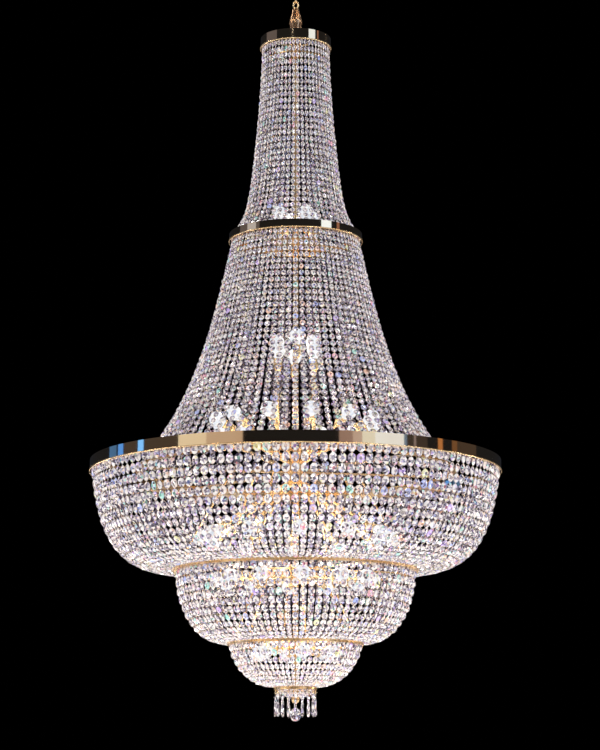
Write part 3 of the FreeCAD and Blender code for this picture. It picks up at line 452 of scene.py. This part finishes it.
def bowl(rim, foot, power, lean):
    """A quarter of a superellipse of this power from rim to foot; lean draws its side in."""
    (r0, z0), (r1, z1) = rim, foot

    def at(u):
        turn = u * math.pi / 2
        down = math.sin(turn) ** (2 / power)
        across = max(0.0, math.cos(turn)) ** (2 / power) * (1 - lean * down)
        return r1 + (r0 - r1) * across, z0 + (z1 - z0) * down

    return at


def crown_shape(u):
    """A slow flare, and a quick one just above the neck band."""
    return 0.61 * u**1.6 + 0.39 * u**14


def skirt_shape(u):
    return 0.55 * u + 0.45 * u**3.5


CURTAINS = (
    Curtain(
        "crown", hung((100, 1299), (186, 720), crown_shape), strands=54,
        ends=(8, 6), pitches=(20.0, 18.4), fill=0.86, widest=15.5, apart=3.0, painted_inner_shade=0.85,
    ),
    Curtain(
        "skirt", hung((188, 696), (462, 11), skirt_shape), strands=80,
        ends=(8, 8), pitches=(18.6, 22.0), fill=0.86, widest=19.5, apart=3.0, painted_inner_shade=0.85,
    ),
    Curtain(
        "first_tier", bowl((590, 2), (356, -279), power=3.0, lean=0.16), strands=144,
        ends=(10, 10), pitches=(27.0, 22.0), fill=0.9, widest=23.0, apart=2.0, painted_inner_shade=0.75,
    ),
    Curtain(
        "second_tier", bowl((347, -288), (197, -490), power=2.5, lean=0.15), strands=92,
        ends=(10, 10), pitches=(24.0, 20.0), fill=0.9, widest=21.0, apart=2.0, painted_inner_shade=0.75,
    ),
    Curtain(
        "third_tier", bowl((188.5, -499), (62, -617), power=2.1, lean=0.13), strands=66,
        ends=(9, 9), pitches=(21.0, 18.0), fill=0.94, widest=18.0, apart=1.4, painted_inner_shade=0.35,
    ),
    Curtain(
        "dish", bowl((50, -624), (12, -646), power=2.0, lean=0.0), strands=24,
        ends=(4, 3), pitches=(8.0, 7.0), fill=0.98, widest=13.0, apart=0.5, painted_inner_shade=0.1,
    ),
)


def walk(line, ends, pitches, steps=1500):
    """Bead middles along a line: (r, z, slope, pitch), the pitch changing evenly."""
    path = np.array([line(u) for u in np.linspace(0, 1, steps)])
    long = np.r_[0, np.cumsum(np.hypot(*np.diff(path, axis=0).T))]
    total = long[-1] - sum(ends)
    mean, change = sum(pitches) / 2, pitches[1] - pitches[0]
    share = np.linspace(0, 1, max(2, round(total / mean)))
    at = ends[0] + total * (share * pitches[0] + share**2 * change / 2) / mean
    r, z = np.interp(at, long, path[:, 0]), np.interp(at, long, path[:, 1])
    return np.c_[r, z, np.arctan2(np.gradient(z), np.gradient(r)), np.gradient(at)]


def bead_axes(slope, twist, wide, tall):
    """A bead's half width, thickness and height as axes, the height along its strand."""
    along = Vector((math.cos(slope), 0, math.sin(slope)))
    outward = Vector((-along.z, 0, along.x))
    if outward.z > 0 if abs(along.z) <= LEVEL_STRAND else outward.x < 0:
        outward = -outward
    side = along.cross(outward)
    spin = Quaternion(along, twist)
    axes = (spin @ side * wide, spin @ outward * wide * 0.95, along * tall)
    return Matrix(axes).transposed().to_4x4()


def bead_curtain(curtain, seed):
    """Strands of wired beads all round; gives where each bead is."""
    rng = np.random.default_rng(seed)
    stops = walk(curtain.line, curtain.ends, curtain.pitches)
    places, beads = [], []
    for strand in range(curtain.strands):
        turn = TAU * strand / curtain.strands
        twist = rng.normal(0, BEAD_TWIST)
        for r, z, slope, pitch in stops:
            twist = TWIST_KEPT * twist + rng.normal(0, BEAD_TWIST)
            wide = min(curtain.widest, curtain.fill * TAU * r / curtain.strands) / 2
            place = bead_axes(slope, twist, wide, (pitch - curtain.apart) / 2)
            place.translation = Vector((r + rng.normal(0, BEAD_SWAY), 0, z))
            places.append(RISE @ Matrix.Rotation(turn, 4, "Z") @ place)
            beads.append((turn, r, z, slope, pitch))
    mesh_piece(
        f"{curtain.name}_beads",
        many(bead_mesh(), places),
        TABLE,
        node=f"{curtain.name}_strands",
        facet=facet_tones(rng, len(places), BEAD_FACES, painted_inner_shade=curtain.painted_inner_shade),
        cuts=([1] * (BEAD_FACES - 2) + [0, 0]) * len(places),
    )
    return beads


def bead_wire(curtain, beads):
    """The wire between neighbouring beads: a small loop that shows as a gold glint."""
    sides = 4
    angles = [TAU * (i + 0.5) / sides for i in range(sides)]
    points = [(r * math.cos(a), r * math.sin(a), z) for a in angles for r, z in WIRE_ROWS]
    faces = []
    for i in range(sides):
        low, high = 3 * i, 3 * ((i + 1) % sides)
        faces += [(low, high, high + 1, low + 1), (low + 1, high + 1, high + 2, low + 2)]
    places = []
    for turn, r, z, slope, pitch in beads:
        along = Vector((math.cos(slope), 0, math.sin(slope)))
        place = along.to_track_quat("Z", "Y").to_matrix().to_4x4()
        place.translation = Vector((r, 0, z)) - along * pitch / 2
        places.append(RISE @ Matrix.Rotation(turn, 4, "Z") @ place)
    name = f"{curtain.name}_bead_wire"
    node = f"{curtain.name}_strands"
    mesh_piece(name, many((points, faces), places), WIRE, node=node)


# ---------------------------------------------------------------- lamps and band rims

# from the axis, over the main band's edge in turn, how many, azimuth of the first, and the level
# on the axis that the lamps' arms point away from, or None where the lamps stand upright
LAMPS = (
    (58, (779,), 4, 213.0, None),
    (62, (364, 400), 6, 213.0, None),
    (235, (156,), 12, 281.0, 19),
    (278, (-188,), 12, 272.5, -10),
    (226, (-310,), 12, 275.0, -292),
    (115, (-521,), 6, 280.0, -503),
)
GLOBE_RADIUS, GLOBE_FOOT = 22.4, -27.2  # from the globe's middle
CAP_RADIUS, CAP_FOOT, CAP_THREADS = 8.8, -49.0, 6
HOLDER_PROFILE = (
    (0, -64.6), (7.4, -64.6), (8.1, -63.6), (8.6, -61.0), (10.8, -57.6), (12.3, -54.6),
    (12.95, -52.9), (12.95, -50.9), (12.2, -49.8), (11.7, -48.6), (11.5, -34.5), (12.0, -31.6),
    (12.9, -30.2), (12.95, -27.5), (12.4, -26.9), (9.5, -26.9), (9.2, -27.6), (9.2, -49.1),
    (0, -49.1),
)
BANDS = (("crown", 106, 1299), ("neck", 198, 696), ("main", 600, 0))  # radius, lower edge


def lamp_places():
    """Where each lamp is, +Z along the lamp and the globe's middle at its origin."""
    places = []
    for out, rises, count, first, heart in LAMPS:
        for i in range(count):
            middle = Vector((out, 0, rises[i % len(rises)]))
            way = Vector((0, 0, 1)) if heart is None else middle - Vector((0, 0, heart))
            stand = Matrix.Translation(middle) @ way.to_track_quat("Z", "Y").to_matrix().to_4x4()
            turn = math.radians(first) + TAU * i / count
            places.append(RISE @ Matrix.Rotation(turn, 4, "Z") @ stand)
    return places


def globe_rows():
    """The globe's (radius, height) rows from its throat to its crown."""
    turns = [math.radians(-34 + 17 * i) for i in range(7)]
    round_rows = [(GLOBE_RADIUS * math.cos(t), GLOBE_RADIUS * math.sin(t)) for t in turns]
    return [(8.9, GLOBE_FOOT), (11.5, GLOBE_FOOT + 5.2), *round_rows, (0, GLOBE_RADIUS)]


def cap_profile():
    """The screw cap: a contact, an insulator and rounded threads."""
    r, foot, top = CAP_RADIUS, CAP_FOOT, GLOBE_FOOT
    profile = [(0, foot), (3.6, foot + 0.4), (4.2, foot + 1.6), (r - 1.6, foot + 3.6)]
    pitch = (top - foot - 6) / CAP_THREADS
    for k in range(CAP_THREADS):
        low = foot + 4 + pitch * k
        profile += [(r - 0.6, low), (r, low + pitch / 2)]
    return profile + [(r - 0.3, top - 1.2), (r, top)]


def lamps():
    places = lamp_places()
    globe = faceted(globe_rows(), 16)
    tones = np.random.default_rng(31).random(len(globe[1]) * len(places))
    mesh_piece(
        "lamp_globes", many(globe, places), GLOBE, node="lamp_bulbs", facet=tones
    )
    for name, mesh, material, slot, node in (
        ("lamp_caps", lathe(cap_profile(), 20), WIRE, "lamp_glass", "lamp_bulbs"),
        ("lamp_holders", lathe(HOLDER_PROFILE, 24), HOLDER, "lamp_holder", "lamp_sockets"),
    ):
        mesh_piece(name, many(mesh, places), material, node=node, smooth=True)


def band_rims():
    """The rolled bead of bright gold round each band's lower edge."""
    for name, radius, edge in BANDS:
        ring = lathe(round_section(radius + 0.2, edge + 1.3, thick=1.75), 192, closed=True)
        mesh_piece(f"{name}_band_bead", many(ring, [RISE]), GOLD, smooth=True)


# ---------------------------------------------------------------- leaf finial

FINIAL_FOOT, FINIAL_TOP = 1305.0, 1427.6
# shares of the finial's height and the radius there
FINIAL_LINE = (
    (0.0, 21.5), (0.05, 21.5), (0.09, 17.0), (0.14, 12.0), (0.22, 12.0), (0.42, 14.2),
    (0.55, 17.6), (0.62, 19.2), (0.69, 19.0), (0.78, 16.2), (0.84, 13.8), (0.93, 10.6), (1.0, 8.6),
)
CORE_SHARE, LEAF_SHARE = 0.84, 0.86  # of that radius: the body, and where its leaves lie
LEAVES = 8  # in each whorl
LEAF_THICK = 0.9
# whorls of leaves: root and tip as shares of the height, half width in radians, how far the tip
# stands off, and the turn in leaves
WHORLS = (
    ("upper", 1.0, 0.6, 0.42, 1.6, 0.0),
    ("lower", 0.8, 0.44, 0.4, 2.6, 0.5),
    ("foot", 0.42, 0.1, 0.4, 2.0, 0.0),
)


def finial_radius(share):
    return float(np.interp(share, *zip(*FINIAL_LINE)))


def finial_point(share, turn, radius):
    height = FINIAL_FOOT + share * (FINIAL_TOP - FINIAL_FOOT)
    return radius * math.cos(turn), radius * math.sin(turn), height


def finial_core(rows=64, steps=96):
    """The turned body, fluted between its foot and its tip."""
    points = []
    for row in range(rows + 1):
        share = row / rows
        flute = 0.09 * math.sin(math.pi * min(1.0, max(0.0, (share - 0.16) / 0.84)))
        for i in range(steps):
            turn = TAU * i / steps
            groove = 1 - flute * abs(math.sin(LEAVES / 2 * turn)) ** 0.7
            points.append(finial_point(share, turn, CORE_SHARE * finial_radius(share) * groove))
    foot, top = range(steps), range(rows * steps, (rows + 1) * steps)
    ends = [tuple(reversed(foot)), tuple(top)]
    return points, grid_faces(rows, steps, closed=True) + ends


def finial_leaf(root, tip, width, flare, rows=22, columns=9):
    """One leaf from share root down to share tip, its edge lobed and its tip standing off."""
    points = []
    for row in range(rows + 1):
        along = row / rows
        share = root + (tip - root) * along
        lobes = 1 - 0.22 * abs(math.sin(math.pi * 3.5 * along)) ** 3
        half = width * (0.3 + 0.7 * math.sin(math.pi * min(1.0, 0.2 + 0.62 * along))) * lobes
        half *= math.sqrt(max(0.0, 1 - along**6))
        for column in range(columns):
            side = 2 * column / (columns - 1) - 1
            veins = 0.7 * (1 - abs(side)) ** 2 - 0.35 * math.cos(3 * math.pi * side)
            lift = 0.5 + flare * along**5 + veins
            radius = LEAF_SHARE * finial_radius(share) + lift
            points.append(finial_point(share, half * side, radius))
    return points, grid_faces(rows, columns)


def finial():
    node, slot = "leaf_finial", "gold_brass"
    mesh_piece("finial_core", many(finial_core(), [RISE]), CAST, node=node, smooth=True)
    for name, root, tip, width, flare, shift in WHORLS:
        turns = [TAU * (i + shift) / LEAVES for i in range(LEAVES)]
        leaf = finial_leaf(root, tip, width, flare)
        whorl = many(leaf, [RISE @ Matrix.Rotation(turn, 4, "Z") for turn in turns])
        leaves = mesh_piece(f"finial_{name}_leaves", whorl, CAST, node=node, smooth=True)
        shell = leaves.modifiers.new("thickness", "SOLIDIFY")
        shell.thickness = LEAF_THICK * MM
        shell.offset = -1.0


# ---------------------------------------------------------------- pendants and ball

BASE_SEAT = -626  # the base ring's lower face
KNOB_SEAT = -664  # the foot of the knob that the ball hangs from
PENDANTS, PENDANT_OUT = 18, 58
OCTAGON_MIDDLE, OCTAGON_HALF, OCTAGON_THICK = BASE_SEAT - 18.27, 7.0, 3.0
# the icicle's (radius, height) rows, heights from the base ring's lower face
ICICLE_ROWS = (
    (0, -76.2), (1.7, -75.0), (4.0, -71.0), (5.0, -66.5), (4.4, -55.0), (3.3, -42.0),
    (3.3, -36.0), (3.6, -32.5), (2.9, -28.6), (2.0, -26.3),
)
PENDANT_WIRE, BALL_WIRE = 0.6, 0.78  # radius of the wires
BALL_MIDDLE, BALL_RADIUS, BALL_HALF_HEIGHT, BALL_SIDES = KNOB_SEAT - 32.88, 17.0, 19.0, 14
BALL_ANGLES = (160, 138, 116, 94, 74, 54, 34, 14)  # of its rows of corners, from its top


def octagon():
    """The pendant's octagon, facing out."""
    points, faces = bead_mesh(0.5, OCTAGON_THICK / OCTAGON_HALF)
    half = OCTAGON_HALF
    points = [(PENDANT_OUT - half * y, half * x, OCTAGON_MIDDLE + half * z) for x, y, z in points]
    return points, faces


def glass_piece(name, mesh, place, node, body, seed, cut_share=0.3):
    rng = np.random.default_rng(seed)
    count = len(mesh[1])
    cuts = (rng.random(count) < cut_share).astype(int)
    tones = facet_tones(rng, 1, count, fire=0.0)
    mesh_piece(
        name, many(mesh, [place]), CLEAR, node=node, body=body, facet=tones, cuts=cuts
    )


def wire_piece(name, mesh, place, node, body):
    mesh = many(mesh, [place])
    mesh_piece(name, mesh, WIRE, node=node, body=body, smooth=True)


def pendants():
    """An octagon on a wire ring, and an icicle below it."""
    icicle = faceted([(r, BASE_SEAT + z) for r, z in ICICLE_ROWS], 6, PENDANT_OUT)
    crystals = joined(octagon(), icicle)
    wires = joined(
        torus((PENDANT_OUT, 0, BASE_SEAT - 7.8), 2.6, PENDANT_WIRE, across=(1, 0, 0)),
        upright_pin(PENDANT_OUT, BASE_SEAT - 27.5, BASE_SEAT - 23.5, PENDANT_WIRE),
        upright_pin(PENDANT_OUT, BASE_SEAT - 12.8, BASE_SEAT - 10.6, PENDANT_WIRE),
    )
    for number in range(1, PENDANTS + 1):
        body = f"pendant_{number:02d}"
        place = RISE @ Matrix.Rotation(TAU * (number - 0.5) / PENDANTS, 4, "Z")
        glass_piece(f"{body}_crystal", crystals, place, body, body, seed=100 + number)
        wire_piece(f"{body}_wire", wires, place, body, body)


def ball():
    """A ball cut in triangles, on a ring of wire."""
    rows = [(0, BALL_MIDDLE - BALL_HALF_HEIGHT)]
    for angle in map(math.radians, BALL_ANGLES):
        height = BALL_MIDDLE + BALL_HALF_HEIGHT * math.cos(angle)
        rows.append((BALL_RADIUS * math.sin(angle), height))
    crystals = faceted(rows, BALL_SIDES)
    wires = joined(
        torus((0, 0, KNOB_SEAT - 9.18), 3.12, BALL_WIRE, across=(0, 1, 0)),
        upright_pin(0, BALL_MIDDLE + 17.5, BALL_MIDDLE + 20.2, BALL_WIRE),
    )
    node, body = "crystal_ball", "ball"
    glass_piece("ball_crystal", crystals, RISE, node, body, seed=77, cut_share=0.2)
    wire_piece("ball_wire", wires, RISE, node, body)


# ---------------------------------------------------------------- materials on the CAD nodes

PAINT = {
    "gold_brass": GOLD,
    "polished_gold_band": BAND,
    "screw_brass": SCREW,
    "lamp_holder": HOLDER,
    "crystal": TABLE,
    "lamp_glass": GLOBE,
}
# nodes whose gold carries painted light: a deeper orange on the skirt ring, a painted reflection
# of
# # gold in gold, and a darker, browner gold on the lower rings and the knob, painted shade
PAINTED_LIGHT_NODES = {
    "skirt_ring": PAINTED_REFLECTION_GOLD,
    "second_tier_ring": PAINTED_SHADE_GOLD,
    "third_tier_ring": PAINTED_SHADE_GOLD,
    "base_ring": PAINTED_SHADE_GOLD,
    "base_finial": PAINTED_SHADE_GOLD,
}


def paint_nodes():
    slots = {part["node"]: part["material_slot"] for part in frame["record"]["subparts"]}
    for node, obj in frame["nodes"].items():
        obj.data.materials.clear()
        obj.data.materials.append(PAINTED_LIGHT_NODES.get(node, PAINT[slots[node]]))


# ---------------------------------------------------------------- floor, world and camera

FLOOR_RADIUS, FLOOR_LEVEL = 6.0, -2900  # metres across, and millimetres like all levels
CAMERA_AT = (0.013, -6.667, z_at(-962))
CAMERA_LIFT = math.radians(10.68)  # how far the camera looks up
LENS, SENSOR = 110.4, 36.0
# what each kind of ray sees in the world: colour and strength
GLASS_SKY = ((0.7, 0.64, 1.0), 0.04)
SKIES = (
    ("Is Glossy Ray", (0.7, 0.78, 1.0), 0.019),
    ("Is Camera Ray", (0.0, 0.0, 0.0), 1.0),
    ("Is Diffuse Ray", (0.9, 0.93, 1.0), 0.35),
)


def floor():
    mesh = bpy.data.meshes.new("floor")
    angles = [TAU * i / 96 for i in range(96)]
    level = z_at(FLOOR_LEVEL)
    points = [(FLOOR_RADIUS * math.cos(a), FLOOR_RADIUS * math.sin(a), level) for a in angles]
    mesh.from_pydata(points, [], [tuple(range(96))])
    mesh.materials.append(matt("pale_floor", (0.78, 0.77, 0.75), (0.8, 0.79, 0.77), rough=0.6))
    obj = bpy.data.objects.new("floor", mesh)
    bpy.context.scene.collection.objects.link(obj)


def world():
    """Dark for the camera and in gloss and glass, as in the photograph, and a low plain fill."""
    data = bpy.data.worlds.new("world")
    bpy.context.scene.world = data
    data.use_nodes = True
    nodes, links = data.node_tree.nodes, data.node_tree.links
    nodes.clear()

    def sky(colour, strength):
        shade = nodes.new("ShaderNodeBackground")
        shade.inputs["Color"].default_value = (*colour, 1.0)
        shade.inputs["Strength"].default_value = strength
        return shade.outputs["Background"]

    path = nodes.new("ShaderNodeLightPath")
    last = sky(*GLASS_SKY)
    for ray, colour, strength in SKIES:
        mix = nodes.new("ShaderNodeMixShader")
        links.new(path.outputs[ray], mix.inputs["Fac"])
        links.new(last, mix.inputs[1])
        links.new(sky(colour, strength), mix.inputs[2])
        last = mix.outputs["Shader"]
    links.new(last, nodes.new("ShaderNodeOutputWorld").inputs["Surface"])


def camera():
    data = bpy.data.cameras.new("camera")
    data.sensor_width = SENSOR
    data.lens = LENS
    data.clip_start, data.clip_end = 0.1, 100.0
    obj = bpy.data.objects.new("camera", data)
    obj.location = CAMERA_AT
    obj.rotation_euler = (math.radians(90) + CAMERA_LIFT, 0, 0)
    bpy.context.scene.collection.objects.link(obj)
    bpy.context.scene.camera = obj


# ---------------------------------------------------------------- lights
# azimuths are in degrees from the front, positive to the right; distances, widths and heights of
# the lights are metres, and their levels millimetres

PANEL_DISTANCE = 4.4
SUN_AZIMUTHS, SUN_HEIGHT = (-62, 58, 122, -118), 8
SUN_COLOUR, SUN_STRENGTH, SUN_ANGLE = (1.0, 0.94, 0.91), 2.2, 40
UNDER_SIZE, UNDER_LEVEL, UNDER_COLOUR, UNDER_RADIANCE = 1.6, -1500, (1.0, 0.95, 0.9), 3.7
SPARKS, SPARK_SIZE, SPARK_WATTS = 26, 0.4, 9.0
SPARK_TINTS = ((1.0, 0.98, 0.95), (0.9, 0.95, 1.0), (1.0, 0.9, 0.8))
GOLDEN = 0.618  # share of a turn from one spark to the next
LAMP_COLOUR = (1.0, 0.9, 0.76)
# the bright and dim panels that the bands mirror: azimuths from and to, levels from and to,
# how bright, and the colour
LOW, HIGH = (-900, 1400), (1450, 3600)
PANELS = (
    ("left_warm", -62.5, -46, LOW, 0.73, (1.0, 0.99, 0.95)),
    ("left_tan", -46, -26.5, LOW, 0.52, (1.0, 0.88, 0.83)),
    ("right_brown", 22, 29, LOW, 0.3, (1.0, 0.81, 0.93)),
    ("right_tan", 29, 34, LOW, 0.52, (0.94, 0.87, 1.0)),
    ("right_cream", 34, 41, LOW, 1.0, (0.74, 0.86, 1.0)),
    ("right_white", 41, 57.3, LOW, 1.5, (0.55, 0.7, 1.0)),
    ("right_blue_slit", 57.3, 59, LOW, 0.5, (0.26, 0.48, 1.0)),
    ("right_dusk", 59, 72, LOW, 0.035, (1.0, 0.8, 0.75)),
    ("right_pale_slit", 63.2, 64.6, LOW, 0.25, (0.77, 0.73, 1.0)),
    ("right_orange", 79.2, 82.5, LOW, 0.42, (1.0, 0.45, 0.16)),
    ("right_amber", 89.7, 93.9, LOW, 0.15, (1.0, 0.5, 0.2)),
    ("right_umber", 94, 112, LOW, 0.045, (1.0, 0.7, 0.5)),
    ("left_umber", -85.5, -63.2, LOW, 0.05, (1.0, 0.8, 0.7)),
    ("left_bright_blue", -90.4, -86, LOW, 2.3, (0.1, 0.34, 1.0)),
    ("left_umber_far", -102.8, -91, LOW, 0.05, (1.0, 0.8, 0.75)),
    ("left_blue", -108.4, -103.3, LOW, 1.6, (0.06, 0.26, 1.0)),
    ("left_dull_blue", -118, -110, LOW, 0.54, (0.1, 0.34, 1.0)),
    ("high_left_haze", -110, -64, HIGH, 0.13, (0.78, 0.76, 1.0)),
    ("high_left_glow", -90, -71, (1450, 2300), 0.6, (0.6, 0.71, 1.0)),
    ("high_right_white", 44, 63, (1450, 2400), 1.9, (0.5, 0.67, 1.0)),
    ("crown_right_white", 43, 66.5, (2400, 3600), 1.8, (0.5, 0.67, 1.0)),
    ("high_right_brown", 74, 80, HIGH, 0.26, (1.0, 0.52, 0.4)),
)
# rings of lamps: their level, how far out, how many lights stand for them, and their watts
LAMP_LIGHTS = (
    (779, 20, 1, 0.2), (385, 20, 1, 0.3), (200, 200, 6, 0.22),
    (-150, 230, 8, 0.3), (-270, 180, 6, 0.25), (-480, 80, 3, 0.25),
)


def new_light(name, kind, colour, energy):
    """A light in the scene and its data."""
    data = bpy.data.lights.new(name, kind)
    data.color, data.energy = colour, energy
    light = bpy.data.objects.new(name, data)
    light.rotation_mode = "QUATERNION"
    bpy.context.scene.collection.objects.link(light)
    return light, data


def area_light(name, azimuth, distance, rise, size, colour, watts, aim=0.0):
    """A panel, size being its width and height, that faces level aim on the axis."""
    light, data = new_light(name, "AREA", colour, watts)
    data.shape = "RECTANGLE"
    data.size, data.size_y = size
    turn = math.radians(azimuth)
    light.location = (distance * math.sin(turn), -distance * math.cos(turn), z_at(rise))
    way = Vector((0, 0, z_at(aim))) - light.location
    light.rotation_quaternion = way.to_track_quat("-Z", "Y")
    light.visible_camera = False
    return light


def panel(name, start, end, levels, radiance, colour):
    """A panel given by the azimuths and levels it covers and how bright it looks."""
    width = 2 * PANEL_DISTANCE * math.tan(math.radians((end - start) / 2))
    height = (levels[1] - levels[0]) * MM
    middle = sum(levels) / 2
    watts = radiance * math.pi * width * height
    size, azimuth = (width, height), (start + end) / 2
    area_light(name, azimuth, PANEL_DISTANCE, middle, size, colour, watts, aim=middle)


def soft_suns():
    """Wide soft lights for dull surfaces alone: polished ones and glass see only the panels."""
    lift = math.radians(SUN_HEIGHT)
    for index, azimuth in enumerate(SUN_AZIMUTHS):
        light, data = new_light(f"soft_sun_{index}", "SUN", SUN_COLOUR, SUN_STRENGTH)
        data.angle = math.radians(SUN_ANGLE)
        turn = math.radians(azimuth)
        out = math.cos(lift)
        way = Vector((math.sin(turn) * out, -math.cos(turn) * out, math.sin(lift)))
        light.rotation_quaternion = (-way).to_track_quat("-Z", "Y")
        light.visible_camera = light.visible_glossy = light.visible_transmission = False


def under_panel():
    """A level soft panel under the chandelier for dull surfaces alone."""
    size = (UNDER_SIZE, UNDER_SIZE)
    watts = UNDER_RADIANCE * math.pi * UNDER_SIZE**2
    light = area_light("low_panel", 0, 0.01, UNDER_LEVEL, size, UNDER_COLOUR, watts)
    light.visible_glossy = light.visible_transmission = False


def sparks():
    """Small lights below and high above that glint in the facets."""
    rng = np.random.default_rng(5)
    size = (SPARK_SIZE, SPARK_SIZE)
    for index in range(SPARKS):
        azimuth = 360 * ((index * GOLDEN) % 1) - 180
        rise = rng.uniform(-2500, -500) if index % 2 else rng.uniform(3000, 4400)
        away = rng.uniform(2.6, 4.2)
        tint = SPARK_TINTS[index % len(SPARK_TINTS)]
        area_light(f"spark_{index:02d}", azimuth, away, rise, size, tint, SPARK_WATTS, aim=-100)


def lamp_light(level, out, count, watts):
    """What a ring of lamps gives to the frame and the beads round it."""
    for index in range(count):
        light, data = new_light(f"lamp_light_{level}_{index}", "POINT", LAMP_COLOUR, watts)
        data.shadow_soft_size = 0.02
        turn = TAU * (index + 0.5) / count
        light.location = (out * MM * math.sin(turn), -out * MM * math.cos(turn), z_at(level))


# ---------------------------------------------------------------- the whole

for seed, curtain in enumerate(CURTAINS, start=11):
    bead_wire(curtain, bead_curtain(curtain, seed))
lamps()
band_rims()
finial()
pendants()
ball()
paint_nodes()

floor()
world()
camera()
soft_suns()
under_panel()
for values in PANELS:
    panel(*values)
sparks()
for ring in LAMP_LIGHTS:
    lamp_light(*ring)
bpy.context.scene.view_settings.view_transform = "Standard"
